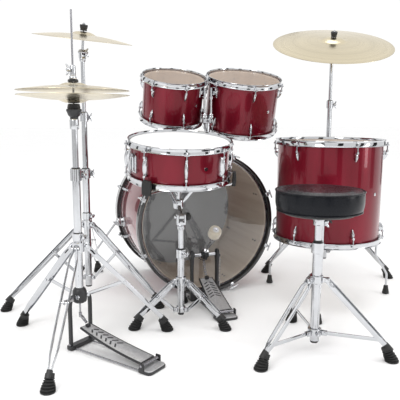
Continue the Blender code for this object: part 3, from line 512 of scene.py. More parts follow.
# ---- hardware used in many places ----------------------------------------------------------------------
def clamp(piece, axis, top, tube, bearing, height):
    """A split collar at the top of a tube, with its nylon bushing, ears and wing bolt."""
    at = moved(Vector((axis.x, axis.y, top)))
    outer = tube + 0.0048
    piece.lathe(
        [
            (tube - 0.0008, 0.0008), (outer - 0.0008, 0.0008), (outer, 0), (outer, -height),
            (outer - 0.001, -height - 0.001), (tube - 0.0008, -height - 0.001)
        ],
        CHROME, at, 28, loop=True
    )
    piece.lathe(
        [
            (tube - 0.004, 0.0042), (tube - 0.0006, 0.0042), (tube + 0.0010, 0.0030), (tube + 0.0010, 0),
            (tube - 0.004, 0)
        ],
        NYLON, at, 28, loop=True
    )
    out = polar(1, bearing)
    side = out.cross(UP)
    middle = axis.xy.to_3d() + UP * (top - height * 0.52)
    for sign in (-1, 1):
        ear = moved(middle + out * (outer + 0.004) + side * sign * 0.0042) @ spun(bearing)
        piece.slab((0.014, 0.0042, height * 0.62), ear, CHROME, 0.0012)
    hub = middle + out * (outer + 0.0065)
    piece.pin(hub - side * 0.012, hub + side * 0.015, 0.0030, CHROME, 10)
    piece.nut(hub - side * 0.0125, side, 0.0050, 0.004, CHROME)
    piece.wing_nut(hub + side * 0.0075, side, UP, CHROME, 0.95)


def ribbed_foot(piece, at, lean):
    """A conical rubber foot with saw-tooth ribs, upright at the floor and leaning with the leg above."""
    lean = Vector(lean).normalized()
    profile = [(0.0195, 0.0), (0.0212, 0.0014), (0.0214, 0.0052)]
    for k in range(5):
        low, size = 0.0056 + 0.0064 * k, 0.0208 - 0.0014 * k
        profile += [(size - 0.0042, low), (size, low + 0.0046), (size - 0.0004, low + 0.0060)]
    profile += [(0.0128, 0.0380), (0.0136, 0.0392), (0.0134, 0.0478), (0.0118, 0.0500), (0.0090, 0.0502)]
    rings = []
    for radius, height in profile:
        share = min(1.0, max(0.0, (height - 0.006) / 0.024)) * 0.6
        normal = UP.lerp(lean, share).normalized()
        middle = at + UP * min(height, 0.006) + UP.lerp(lean, 0.66).normalized() * max(0.0, height - 0.006)
        place = stood(middle, normal)
        rings.append([place @ Vector((x, y, 0)) for x, y in circle(radius, 24)])
    piece.loft(rings, RUBBER)


def leg(piece, high, foot, side, top_spread=0.0062, belly=0.0118):
    """Two pressed strips, pinched at the pivot and at the foot and splayed between."""
    spans = (
        (0.0, top_spread), (0.035, top_spread), (0.085, belly * 0.92), (0.14, belly), (0.45, belly * 0.98),
        (0.80, belly * 0.84), (0.90, 0.0056), (0.985, 0.0046)
    )
    for sign in (-1, 1):
        points = [lerp(high, foot, t) + side * (sign * s) for t, s in spans]
        piece.strip(curve(points, 3), LEG_WIDTH, 0.0024, side, CHROME, 0.0009)
        piece.pin(
            high + side * sign * (top_spread - 0.0012), high + side * sign * (top_spread + 0.0012),
            LEG_WIDTH / 2, CHROME, 20
        )


def tripod(piece, axis, reach, bearing, top, hub, tube, fold):
    """A locked-open tripod: upper bracket, three double legs, braces and lower hub."""
    base = axis.xy.to_3d()
    for height, outer, tall in ((top, tube + 0.0062, 0.032), (hub, tube + 0.0050, 0.020)):
        at = moved(base + UP * height)
        piece.lathe(
            [
                (tube - 0.001, tall / 2), (outer - 0.0012, tall / 2), (outer, tall / 2 - 0.0012),
                (outer, -tall / 2 + 0.0012), (outer - 0.0012, -tall / 2), (tube - 0.001, -tall / 2)
            ],
            CHROME, at, 28, loop=True
        )
    for k in range(3):
        angle = bearing + 120 * k
        out = polar(1, angle)
        side = out.cross(UP)
        high = base + polar(tube + 0.014, angle, top)
        foot = base + polar(reach - 0.006, angle, 0.036)
        lean = (high - foot).normalized()
        leg(piece, high, foot, side)
        turn = spun(angle)
        for sign in (-1, 1):
            ear = moved(base + polar(tube + 0.0105, angle, top) + side * sign * 0.0032) @ turn
            piece.slab((0.019, 0.0026, 0.021), ear, CHROME, 0.0010)
        piece.axle(high, side, 0.0100, 0.0042, CHROME, 14)
        piece.nut_pair(high, side, 0.0086, 0.0058, 0.0036, CHROME)
        joint = lerp(high, foot, fold)
        inner = base + polar(tube + 0.013, angle, hub)
        reach_in = (joint - inner).normalized()
        piece.strip(
            [inner - reach_in * 0.004, lerp(inner, joint, 0.5), joint + reach_in * 0.004], 0.0125, 0.0030,
            side, CHROME, 0.001
        )
        piece.axle(inner, side, 0.0015, 0.0072, CHROME, 16)
        piece.axle(joint, side, 0.0015, 0.0072, CHROME, 16)
        piece.axle(joint, side, 0.0140, 0.0030, CHROME, 12)
        piece.nut_pair(joint, side, 0.0128, 0.0050, 0.0028, CHROME)
        for sign in (-1, 1):
            ear = moved(base + polar(tube + 0.0095, angle, hub) + side * sign * 0.0038) @ turn
            piece.slab((0.017, 0.0024, 0.015), ear, CHROME, 0.0010)
        piece.axle(inner, side, 0.0078, 0.0028, CHROME, 12)
        piece.nut(inner + side * 0.0060, side, 0.0044, 0.0026, CHROME, 12)
        ribbed_foot(piece, base + polar(reach, angle), lean)
        cuff = foot + lean * 0.012
        piece.tube(
            [cuff - lean * 0.014, cuff + lean * 0.010], 1, NYLON, outline=rounded(0.0150, 0.0190, 0.004)
        )


def tube_wall(piece, axis, low, high, radius, finish=CHROME, sides=28):
    """An upright tube with softened rims."""
    at = moved(axis.xy.to_3d())
    piece.lathe(
        [
            (0, low), (radius - 0.0008, low), (radius, low + 0.0008), (radius, high - 0.0006),
            (radius - 0.0006, high), (0, high)
        ],
        finish, at, sides
    )


# ---- drums ---------------------------------------------------------------------------------------------
def lug(piece, radius, bearing, middle, rod_up, length=0.036, width=0.0135, depth=0.0205, even=False):
    """A rounded teardrop casting on the shell, fat at the rod's end; an even one takes a rod at both ends."""
    out, side = polar(1, bearing), polar(1, bearing + 90)
    rings, steps = [], 16
    for k in range(steps + 1):
        t = k / steps
        bulge = math.sin(math.pi * min(1, max(0, t * 0.97 + 0.015))) ** (0.30 if even else 0.55)
        half = width / 2 * bulge * (1 if even else 0.62 + 0.38 * t)
        rise = depth * bulge * (1 if even else 0.55 + 0.45 * t**1.2)
        height = middle + rod_up * length * (t - 0.5)
        arc = [
            (half * math.cos(math.pi * j / 10), rise * math.sin(math.pi * j / 10) ** 0.8) for j in range(11)
        ]
        rings.append([out * (radius - 0.001 + y) + side * x + UP * height for x, y in arc])
    piece.loft(rings, CHROME)
    for way in (-rod_up, rod_up) if even else (rod_up,):
        seat = polar(radius + 0.0125, bearing, middle + way * (length / 2 - 0.006))
        piece.pin(seat, seat + UP * way * 0.0085, 0.0048, CHROME, 14)
    for shift in (-0.25, 0.30):
        dot = polar(radius - 0.0065, bearing, middle + rod_up * length * shift)
        piece.nut(dot, -out, 0.0046, 0.0022, STEEL, 14)


def hoop(piece, radius, lugs, bearing, rod_end, place=None):
    """A triple-flanged steel hoop with ears, tension rods and washers."""
    place = place or Matrix()
    r = radius
    profile = [
        (r + 0.0048, -0.0125), (r + 0.0098, -0.0128), (r + 0.0104, -0.0121), (r + 0.0098, -0.0113),
        (r + 0.0078, -0.0106), (r + 0.0070, -0.0095), (r + 0.0066, 0.0040), (r + 0.0072, 0.0062),
        (r + 0.0084, 0.0074), (r + 0.0088, 0.0082), (r + 0.0085, 0.0090), (r + 0.0076, 0.0092),
        (r + 0.0060, 0.0084), (r + 0.0050, 0.0062), (r + 0.0047, 0.0030)
    ]
    piece.lathe(profile, CHROME, place, 96, loop=True)
    for k in range(lugs):
        angle = bearing + 360 * k / lugs
        ear = place @ moved(polar(r + 0.0122, angle, -0.0118)) @ spun(angle)
        piece.slab((0.0125, 0.0215, 0.0026), ear, CHROME, 0.0052, 0.0005)
        line = polar(r + 0.0125, angle)
        piece.pin(place @ (line + UP * rod_end), place @ (line - UP * 0.010), 0.0024, STEEL, 12)
        piece.nut(place @ (line - UP * 0.0105), place.to_3x3() @ UP, 0.0062, 0.0016, STEEL, 18)
        piece.nut(place @ (line - UP * 0.0090), place.to_3x3() @ UP, 0.0052, 0.0026, CHROME, 18)
        piece.nut(place @ (line - UP * 0.0066), place.to_3x3() @ UP, 0.0034, 0.0072, CHROME, 4)


def head(piece, radius, film, place=None):
    """The film, its collar and the metal flesh ring under the hoop."""
    place = place or Matrix()
    r = radius
    piece.lathe(
        [
            (0, 0), (r * 0.5, 0), (r - 0.006, 0), (r - 0.001, -0.0004), (r + 0.0012, -0.0022),
            (r + 0.0030, -0.0050)
        ],
        film, place, 96
    )
    piece.lathe(
        [(r + 0.0016, -0.0050), (r + FLESH_RING, -0.0048), (r + FLESH_RING, -0.0105), (r + 0.0016, -0.0105)],
        STEEL, place, 96, loop=True
    )


def shell(piece, radius, depth, inside=MAPLE, sides=96):
    """A ply shell: lacquered outside, bare bevelled edges and inside."""
    r = radius
    piece.lathe(
        [
            (r - 0.0025, -0.0022), (r - 0.0008, -0.0030), (r - 0.0005, -0.0050), (r - 0.0005, -depth / 2),
            (r - 0.0005, 0.0050 - depth), (r - 0.0008, 0.0030 - depth), (r - 0.0025, 0.0022 - depth)
        ],
        RED, None, sides
    )
    piece.lathe(
        [
            (r - 0.0025, -0.0022), (r - SHELL_WALL, -0.0070), (r - SHELL_WALL, -depth / 2),
            (r - SHELL_WALL, 0.0070 - depth), (r - 0.0025, 0.0022 - depth)
        ],
        inside, None, sides
    )


def drum_place(node, normal):
    normal = Vector(normal).normalized()
    return stood(centre(node) + normal * (HEAD_HEIGHT / 2), normal)


def build_tom(name, body, film, extra=None):
    size = TOMS[name]
    radius, depth, bearing, drop = size["radius"], size["depth"], size["bearing"], size["drop"]
    place = drum_place(f"{name}_batter_head", size["normal"])
    wood = Piece(f"{name}_body", place)
    shell(wood, radius, depth)
    for k in range(6):
        lug(wood, radius, bearing + 60 * k, -drop, 1)
        lug(wood, radius, bearing + 60 * k, drop - depth, -1)
    vent = polar(radius - 0.001, bearing + 30)
    wood.nut(vent - UP * depth * 0.5, polar(1, bearing + 30), 0.0065, 0.0020, CHROME, 20)
    if extra:
        extra(wood, place)
    wood.done(body, f"{name}_shell", slot="shell_lacquer")
    rod_end = -drop + 0.012
    top = Piece(f"{name}_rim", place)
    hoop(top, radius, 6, bearing, rod_end)
    top.done(body, f"{name}_top_hoop", slot="chrome")
    skin = Piece(f"{name}_film", place)
    head(skin, radius, film)
    skin.done(body, f"{name}_batter_head", slot="film_clear")
    below = Piece(f"{name}_lower_rim", place)
    turned = moved((0, 0, -depth)) @ TURNED_OVER
    hoop(below, radius, 6, -bearing, rod_end, turned)
    head(below, radius, film, turned)
    below.done(body, f"{name}_bottom_hoop", slot="chrome")


# ---- bass drum -----------------------------------------------------------------------------------------
BASS_HEAD = centre("bass_batter_head")
BASS_LINE = Vector((BASS_HEAD.x, 0, BASS_HEAD.z))
BATTER_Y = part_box("bass_batter_head")[0][1]
HOOP_RADIUS = 0.2975
HOOP_INSET, HOOP_WIDTH = 0.018, 0.042
BATTER = moved((BASS_LINE.x, BATTER_Y, BASS_LINE.z)) @ Matrix.Rotation(math.pi / 2, 4, "X")
FRONT = BATTER @ moved((0, 0, -BASS_DEPTH)) @ TURNED_OVER
POST = centre("tom_post")


def bass_hoop(name, place, node, t_handles):
    """A lacquered wooden hoop held by claws, each with a tension rod and a T-handle or a key head."""
    ring = Piece(name, place)
    inner, face, back = BASS_RADIUS + 0.0052, HOOP_INSET, HOOP_INSET - HOOP_WIDTH
    ring.lathe(
        [
            (inner, face - 0.004), (inner + 0.0015, face - 0.0008), (inner + 0.004, face),
            (HOOP_RADIUS - 0.003, face), (HOOP_RADIUS - 0.0008, face - 0.001), (HOOP_RADIUS, face - 0.003),
            (HOOP_RADIUS, back + 0.002), (HOOP_RADIUS - 0.002, back), (inner, back)
        ],
        BLACK, None, 120, loop=True
    )
    for k in range(8):
        angle = 22.5 + 45 * k
        out, side = polar(1, angle), polar(1, angle + 90)
        r = HOOP_RADIUS
        path = [
            out * (r - 0.010) + UP * (face - 0.0020), out * (r - 0.006) + UP * (face + 0.0022),
            out * (r + 0.0005) + UP * (face + 0.0024), out * (r + 0.0030) + UP * (face - 0.0010),
            out * (r + 0.0034) + UP * (face - 0.0120), out * (r + 0.0034) + UP * (face - 0.024)
        ]
        smooth = curve(path, 4)
        rings = []
        for j, here in enumerate(smooth):
            t = j / (len(smooth) - 1)
            before, after = smooth[max(j - 1, 0)], smooth[min(j + 1, len(smooth) - 1)]
            across = side.cross((after - before).normalized()).normalized()
            wide = lerp(0.0185, 0.0120, t)
            rings.append([here + side * x + across * y for x, y in rounded(wide, 0.0030, 0.0012)])
        ring.loft(rings, CHROME)
        line = out * (r + 0.0058)
        ring.pin(line + UP * (back - 0.020), line + UP * (face + 0.004), 0.0029, CHROME, 12)
        ring.pin(line + UP * (face - 0.013), line + UP * (face - 0.001), 0.0054, CHROME, 16)
        if t_handles:
            tip = line + UP * (face + 0.013)
            ring.pin(line + UP * face, tip, 0.0033, CHROME, 12)
            ring.axle(tip, side, 0.0185, 0.0031, CHROME, 12)
        else:
            ring.nut(line + UP * (face - 0.002), UP, 0.0036, 0.008, CHROME, 4)
    ring.done("kit", node, slot="hoop_black")


def build_bass_drum():
    wood = Piece("bass_body", BATTER)
    # The inside ply is painted lighter here: painted light inside the drum.
    shell(wood, BASS_RADIUS, BASS_DEPTH, inside=MAPLE_PAINTED_LIGHT, sides=128)
    back = HOOP_INSET - HOOP_WIDTH
    for k in range(8):
        angle = 22.5 + 45 * k
        for middle, way in ((back - 0.036, 1), (-BASS_DEPTH - back + 0.036, -1)):
            lug(wood, BASS_RADIUS, angle, middle, way, 0.040, 0.0185, 0.0235)
    vent = BASS_DEPTH * 0.5
    wood.nut(polar(BASS_RADIUS - 0.001, 90) - UP * vent, polar(1, 90), 0.008, 0.0025, CHROME, 24)
    wood.done("kit", "bass_shell", slot="shell_lacquer")
    mount = Piece("tom_post_socket")
    top = BASS_LINE.z + math.sqrt(BASS_RADIUS**2 - (POST.x - BASS_LINE.x) ** 2)
    base = Vector((POST.x, POST.y, 0))
    mount.slab((0.060, 0.040, 0.012), moved(base + UP * (top + 0.0015)), CHROME, 0.010, 0.002)
    mount.lathe([(0.0137, 0), (0.0190, 0), (0.0190, 0.036), (0.0178, 0.038), (0.0137, 0.038)], CHROME,
                moved(base + UP * top), 32, loop=True)
    for x, y in ((-1, -1), (1, -1), (-1, 1), (1, 1)):
        mount.nut(base + Vector((x * 0.0235, y * 0.0135, top + 0.006)), UP, 0.0042, 0.003, STEEL, 14)
    screw = base + Vector((0, -0.019, top + 0.024))
    mount.pin(screw, screw - ALONG * 0.011, 0.0035, CHROME, 12)
    mount.wing_nut(screw - ALONG * 0.007, -ALONG, ACROSS, CHROME, 0.95)
    mount.done("kit", slot="chrome")
    for name, place, film, node in (
        ("bass_batter_film", BATTER, SMOKE, "bass_batter_head"),
        ("bass_front_film", FRONT, DARK_FILM, "bass_front_head")
    ):
        skin = Piece(name, place)
        head(skin, BASS_RADIUS, film)
        skin.done("kit", node, slot="film_smoke")
    bass_hoop("bass_batter_rim", BATTER, "bass_batter_hoop", True)
    bass_hoop("bass_front_rim", FRONT, "bass_front_hoop", False)
    for side, name in ((-1, "left"), (1, "right")):
        hinge = pivot(f"{name}_spur_fold")
        away = ACROSS * side
        bracket = Piece(f"spur_{name}_bracket")
        root = Vector((BASS_LINE.x + side * (BASS_RADIUS - 0.006), hinge.y, hinge.z))
        bracket.lathe(
            [
                (0, 0), (0.024, 0), (0.024, 0.006), (0.0195, 0.009), (0.0185, (hinge - root).length - 0.009),
                (0, (hinge - root).length - 0.009)
            ],
            CHROME, stood(root, away), 32
        )
        bracket.done("kit", slot="chrome")
        arm = Piece(f"spur_{name}_arm")
        arm.lathe(
            [(0, 0), (0.0178, 0), (0.0185, 0.0015), (0.0185, 0.013), (0.0150, 0.0180), (0, 0.0190)], CHROME,
            stood(hinge - away * 0.0065, away), 32
        )
        arm.wing_nut(hinge + away * 0.0120, away, ALONG, CHROME, 0.95)
        low = Vector(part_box(f"bass_spur_{name}")[0])
        high = Vector(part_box(f"bass_spur_{name}")[1])
        tip = Vector((high.x - 0.008 if side > 0 else low.x + 0.008, high.y - 0.008, low.z + 0.001))
        start = hinge + away * 0.010
        way = (tip - start).normalized()
        arm.pin(start, tip - way * 0.020, 0.0050, CHROME, 18)
        arm.pin(tip - way * 0.036, tip - way * 0.026, 0.0068, STEEL, 18)
        rings = [
            (0, 0), (0.0030, 0.001), (0.0072, 0.006), (0.0085, 0.012), (0.0080, 0.026), (0.0058, 0.030),
            (0, 0.030)
        ]
        arm.lathe(rings, RUBBER, stood(tip, -way), 24)
        arm.done(f"spur_{name}", f"bass_spur_{name}", slot="chrome")


def build_tom_holder():
    ball_1, ball_2 = pivot("tom_1_tilt"), pivot("tom_2_tilt")
    post = Piece("tom_post_tube")
    mast = Vector((BASS_LINE.x + 0.018, ball_1.y + 0.009, 0))
    tube_wall(post, mast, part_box("tom_post")[0][2], ball_1.z - 0.020, 0.0124)
    post.lathe(
        [(0.0120, 0), (0.0165, 0), (0.0165, 0.014), (0.0120, 0.014)], CHROME, moved(mast + UP * 0.6185), 28,
        loop=True
    )
    middle = (ball_1 + ball_2) / 2
    post.slab((0.046, 0.015, 0.018), moved(middle - UP * 0.024), CHROME, 0.005, 0.0015)
    post.slab((0.030, 0.024, 0.018), moved(mast + UP * (ball_1.z - 0.025)), CHROME, 0.006, 0.0015)
    for ball in (ball_1, ball_2):
        post.lathe(
            [
                (0, -0.016), (0.0112, -0.016), (0.0128, -0.013), (0.0128, -0.006), (0.0122, -0.004),
                (0.0112, -0.004), (0.0112, -0.013), (0, -0.013)
            ],
            CHROME, moved(ball), 28
        )
    screw = middle + Vector((0, -0.008, -0.024))
    post.pin(screw, screw - ALONG * 0.012, 0.0035, CHROME, 12)
    post.wing_nut(screw - ALONG * 0.008, -ALONG, ACROSS, CHROME, 0.9)
    post.done("tom_post", "tom_post", slot="chrome")
    for name, ball in (("tom_1", ball_1), ("tom_2", ball_2)):
        arm = Piece(f"{name}_rod")
        turn = [
            (0.0108 * math.sin(math.pi * k / 12), -0.0108 * math.cos(math.pi * k / 12)) for k in range(13)
        ]
        arm.lathe(turn, CHROME, moved(ball), 28)
        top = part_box(f"{name}_arm")[1][2]
        tube_wall(arm, ball, ball.z, top, 0.0050, CHROME, 18)
        arm.lathe(
            [(0.0046, 0), (0.0080, 0), (0.0080, 0.010), (0.0046, 0.010)], CHROME, moved(ball + UP * 0.064),
            20, loop=True
        )
        arm.done(f"{name}_arm", f"{name}_arm", slot="chrome")


def tom_bracket(name):
    """The clamp on a tom's shell that grips its rod."""
    ball = pivot(f"{name}_tilt")
    radius = TOMS[name]["radius"]

    def add(piece, place):
        back = place.inverted()
        rod = back @ (ball + UP * 0.091)
        out = Vector((rod.x, rod.y, 0))
        reach, way = out.length, out.normalized()
        angle = math.degrees(math.atan2(way.y, way.x))
        turn = spun(angle)
        plate = moved(way * (radius + 0.0015) + UP * rod.z) @ turn
        piece.slab((0.006, 0.036, 0.040), plate, CHROME, 0.002, 0.0015)
        gap = reach - radius - 0.0062
        boss = moved(way * (radius + gap / 2) + UP * rod.z) @ turn
        piece.slab((gap, 0.024, 0.016), boss, CHROME, 0.003, 0.0015)

    return add


# ---- floor tom -----------------------------------------------------------------------------------------
def floor_brackets(piece, place):
    radius = TOMS["floor_tom"]["radius"]
    for bearing in FLOOR_LEG_BEARINGS:
        turn = spun(bearing)
        out, side = polar(1, bearing), polar(1, bearing + 90)
        piece.slab(
            (0.005, 0.034, 0.062), moved(out * (radius + 0.001) - UP * 0.270) @ turn, CHROME, 0.002, 0.0015
        )
        piece.slab(
            (0.022, 0.024, 0.044), moved(out * (radius + 0.0115) - UP * 0.270) @ turn, CHROME, 0.005, 0.002
        )
        bolt = out * (radius + 0.012) - UP * 0.270
        piece.pin(bolt + side * 0.010, bolt + side * 0.022, 0.0034, CHROME, 12)
        piece.wing_nut(bolt + side * 0.016, side, UP, ENAMEL, 1.0)


def build_floor_legs():
    axis = centre("floor_tom_batter_head")
    radius = TOMS["floor_tom"]["radius"]
    for k, bearing in enumerate(FLOOR_LEG_BEARINGS):
        base = axis.xy.to_3d()
        line, foot_out = radius + 0.027, FLOOR_FOOT_OUT
        points = (
            (line, 0.460), (line, 0.182), (line + 0.0015, 0.170), (line + 0.009, 0.157),
            (foot_out - 0.009, 0.101), (foot_out - 0.0015, 0.088), (foot_out, 0.076), (foot_out, 0.030)
        )
        path = [base + polar(out, bearing, z) for out, z in points]
        piece = Piece(f"floor_tom_leg_rod_{k + 1}")
        bent = [path[0], *curve(path[1:4], 4), *curve(path[4:7], 4), path[7]]
        piece.tube(bent, 0.0048, CHROME, 16)
        piece.lathe(
            [(0, 0.456), (0.0040, 0.456), (0.0040, 0.4612), (0.0030, 0.4622), (0, 0.4622)], CHROME,
            moved(base + polar(line, bearing)), 16
        )
        sole = [
            (0, 0.0008), (0.0125, 0.0008), (0.0140, 0.0024), (0.0142, 0.0085), (0.0128, 0.0110),
            (0.0120, 0.0120), (0.0126, 0.0140), (0.0112, 0.0200), (0.0102, 0.0215), (0.0106, 0.0230),
            (0.0094, 0.0310), (0.0082, 0.0360), (0.0050, 0.0375), (0, 0.0375)
        ]
        piece.lathe(sole, RUBBER, moved(base + polar(foot_out, bearing)), 28)
        piece.lathe(
            [(0.0046, 0.3995), (0.0078, 0.3995), (0.0078, 0.4085), (0.0046, 0.4085)], CHROME,
            moved(base + polar(line, bearing)), 20, loop=True
        )
        piece.done(f"floor_leg_{k + 1}", f"floor_tom_leg_{k + 1}", slot="chrome")


# ---- snare drum ----------------------------------------------------------------------------------------
def build_snare():
    radius, depth, bearing, strainer = SNARE["radius"], SNARE["depth"], SNARE["bearing"], SNARE["strainer"]
    place = drum_place("snare_batter_head", SNARE["normal"])
    wood = Piece("snare_body", place)
    shell(wood, radius, depth)
    for k in range(8):
        angle = bearing + 45 * k
        lug(wood, radius, angle, -depth / 2, 1, 0.069, 0.0165, 0.0200, even=True)
    vent = polar(radius - 0.001, bearing + 23, -depth / 2)
    wood.lathe(
        [(0.0018, 0), (0.0068, 0), (0.0062, 0.0022), (0.0018, 0.0022)], CHROME,
        stood(vent, polar(1, bearing + 23)), 24, loop=True
    )
    turn = spun(strainer)
    out, side = polar(1, strainer), polar(1, strainer + 90)
    wood.slab((0.006, 0.036, 0.062), moved(out * (radius + 0.001) - UP * 0.066) @ turn, CHROME, 0.002, 0.0015)
    wood.slab((0.014, 0.026, 0.050), moved(out * (radius + 0.007) - UP * 0.064) @ turn, CHROME, 0.003, 0.002)
    wood.pin(out * (radius + 0.009) - UP * 0.041, out * (radius + 0.009) - UP * 0.030, 0.0062, STEEL, 20)
    butt = spun(strainer + 180)
    far = -out
    wood.slab((0.012, 0.036, 0.026), moved(far * (radius + 0.005) - UP * 0.092) @ butt, CHROME, 0.003, 0.002)
    for sign in (-1, 1):
        wood.nut(far * (radius + 0.0105) - UP * 0.096 + side * sign * 0.010, far, 0.0042, 0.003, STEEL, 14)
        strap = [
            far * (radius + 0.004) - UP * 0.100 + side * sign * 0.004,
            far * (radius + 0.002) - UP * 0.118 + side * sign * 0.004
        ]
        wood.tube(
            [*strap, far * (radius - 0.010) - UP * (depth + 0.002) + side * sign * 0.004], 0.0012, NYLON, 8
        )
    wood.done("snare", "snare_shell", slot="shell_lacquer")
    rod_end = -depth / 2 + 0.034
    top = Piece("snare_rim", place)
    hoop(top, radius, 8, bearing, rod_end)
    top.done("snare", "snare_top_hoop", slot="chrome")
    skin = Piece("snare_film", place)
    head(skin, radius, COATED)
    skin.done("snare", "snare_batter_head", slot="film_white")
    below = Piece("snare_lower_rim", place)
    turned = moved((0, 0, -depth)) @ TURNED_OVER
    hoop(below, radius, 8, -bearing, rod_end, turned)
    head(below, radius, CLEAR, turned)
    floor = -depth - 0.0016
    for sign in (-1, 1):
        plate = moved(out * (sign * 0.140) + UP * floor) @ turn
        below.slab((0.016, 0.044, 0.0016), plate, STEEL, 0.002, 0.0003)
    for k in range(20):
        shift = side * (0.0021 * (k - 9.5))
        below.tube([out * -0.136 + shift + UP * floor, out * 0.136 + shift + UP * floor], 0.0007, NICKEL, 6)
    below.done("snare", "snare_bottom_hoop", slot="chrome")
    lever = Piece("snare_throw_lever", place)
    hinge = place.inverted() @ pivot("snare_throw_off")
    lever.axle(hinge, side, 0.0125, 0.0036, STEEL, 16)
    path = [
        hinge + out * 0.001, hinge + out * 0.003 + UP * 0.016, hinge + out * 0.002 + UP * 0.034,
        hinge + out * 0.004 + UP * 0.049
    ]
    rings = []
    for k, here in enumerate(curve(path, 5)):
        wide = 0.0120 + 0.0035 * math.sin(math.pi * k / 15)
        rings.append([here + side * x + out * y for x, y in rounded(wide, 0.0042, 0.0016)])
    lever.loft(rings, CHROME)
    lever.done("snare_lever", "snare_throw_off", slot="chrome")
    return place


def build_snare_stand(place):
    fork = pivot("snare_basket_tilt")
    axis = fork.xy.to_3d()
    base = Piece("snare_tripod")
    tripod(base, axis, **SNARE_TRIPOD)
    tube_wall(base, axis, 0.030, 0.268, SNARE_TUBE)
    base.lathe(
        [(0, 0.020), (0.0110, 0.022), (0.0122, 0.030), (0.0122, 0.033), (0, 0.033)], NYLON, moved(axis), 28
    )
    clamp(base, axis, 0.266, SNARE_TUBE, 300, 0.030)
    base.done("kit", "snare_stand_base", slot="chrome")
    post = Piece("snare_post_tube")
    tube_wall(post, axis, 0.122, fork.z - 0.016, SNARE_POST_TUBE)
    at = moved(fork)
    post.lathe(
        [(0, -0.046), (0.0120, -0.046), (0.0135, -0.044), (0.0135, -0.030), (0.0120, -0.028), (0, -0.028)],
        CHROME, at, 28
    )
    post.slab((0.034, 0.020, 0.010), moved(fork - UP * 0.024), CHROME, 0.004, 0.0015)
    for sign in (-1, 1):
        post.slab(
            (0.0064, 0.019, 0.033), moved(fork + ACROSS * sign * 0.0136 - UP * 0.0075), CHROME, 0.002, 0.0015
        )
    post.pin(fork - ACROSS * 0.0220, fork + ACROSS * 0.0225, 0.0036, CHROME, 14)
    knob = [
        (0, 0), (0.0080, 0), (0.0125, 0.003), (0.0132, 0.008), (0.0118, 0.015), (0.0085, 0.018), (0, 0.018)
    ]
    post.lathe(knob, NYLON, stood(fork + ACROSS * 0.0180, ACROSS), 24)
    for k in range(8):
        grip = polar(0.0130, 45 * k)
        start = fork + ACROSS * 0.0215 + Vector((0, grip.x, grip.y))
        post.pin(start, start + ACROSS * 0.0110, 0.0016, NYLON, 8)
    post.nut(fork - ACROSS * 0.0185, -ACROSS, 0.0060, 0.005, CHROME)
    post.done("snare_post", "snare_stand_post", slot="chrome")
    basket = Piece("snare_basket_arms")
    hub = place @ Vector((0, 0, -0.236))
    basket.axle(fork, ACROSS, 0.0092, 0.0108, CHROME, 24)
    basket.strip([fork, lerp(fork, hub, 0.5), hub], 0.015, 0.014, ACROSS, CHROME, 0.003)
    basket.lathe(
        [
            (0, -0.254), (0.0120, -0.254), (0.0190, -0.250), (0.0195, -0.246), (0.0195, -0.222),
            (0.0175, -0.218), (0, -0.216)
        ],
        CHROME, place, 30
    )
    basket.lathe(
        [
            (0, -0.218), (0.0058, -0.218), (0.0058, -0.165), (0.0150, -0.163), (0.0160, -0.160),
            (0.0160, -0.154), (0, -0.153)
        ],
        CHROME, place, 24
    )
    basket.wing_nut(
        place @ Vector((0, 0, -0.205)), place.to_3x3() @ UP, place.to_3x3() @ polar(1, 20), CHROME, 0.9
    )
    for k in range(3):
        angle = 219 + 120 * k
        side = place.to_3x3() @ polar(1, angle + 90)
        steps = (
            (0.012, -0.1585), (0.090, -0.1575), (0.172, -0.1550), (0.190, -0.1520), (0.1975, -0.1440),
            (0.1985, -0.1120)
        )
        basket.strip(
            curve([place @ polar(out, angle, z) for out, z in steps], 5), 0.0068, 0.0105, side, CHROME, 0.0018
        )
        strut = [
            place @ polar(out, angle, z) for out, z in ((0.017, -0.228), (0.042, -0.194), (0.068, -0.161))
        ]
        for sign in (-1, 1):
            basket.strip(
                [point + side * (sign * 0.0062) for point in strut], 0.0080, 0.0022, side, CHROME, 0.0007
            )
        for out, z in ((0.017, -0.228), (0.068, -0.161)):
            rivet = place @ polar(out, angle, z)
            basket.axle(rivet, side, 0.0090, 0.0032, STEEL, 12)
        grip = [
            place @ polar(out, angle, z) for out,
            z in ((0.1990, -0.1560), (0.2005, -0.1480), (0.2005, -0.1180), (0.1985, -0.1050))
        ]
        rings = []
        for here, wide in zip(
            curve(grip, 4), [0.0300 + 0.0060 * math.sin(math.pi * t / 12) for t in range(13)]
        ):
            out = place.to_3x3() @ polar(1, angle)
            rings.append([here + side * x + out * y for x, y in rounded(wide, 0.0130, 0.0040)])
        basket.loft(rings, RUBBER)
    basket.done("snare", "snare_basket", slot="chrome")


# ---- cymbals -------------------------------------------------------------------------------------------
def cymbal(name, place, radius, height, bell_radius, body, node):
    """A lathed cymbal: bell, shoulder, long bow and a thin rolled edge, the edge at the place's Z = 0."""
    bell = height * 0.42
    shoulder = bell_radius * 1.02
    upper = [
        (0.0065, height - 0.0004), (bell_radius * 0.28, height - 0.0006),
        (bell_radius * 0.52, height - bell * 0.17), (bell_radius * 0.74, height - bell * 0.46),
        (bell_radius * 0.90, height - bell * 0.80), (shoulder, height - bell * 0.99)
    ]
    for k in range(1, 15):
        share = k / 14
        upper.append((shoulder + (radius - shoulder) * share, (height - bell) * (1 - share**1.5) + 0.00005))
    lower = [(r, z - CYMBAL_THICK) for r, z in reversed(upper)]
    edge = [(radius + 0.0003, -CYMBAL_THICK * 0.5)]
    turn = place.to_3x3().to_4x4()
    metal = bronze_finish(f"bronze_{name}", (0.68, 0.60, 0.43), turn @ UP)
    plate = Piece(name, moved(place.translation))
    plate.lathe(upper + edge + lower, metal, turn, 128, loop=True)
    plate.done(body, node, slot="brass", sharp=50)


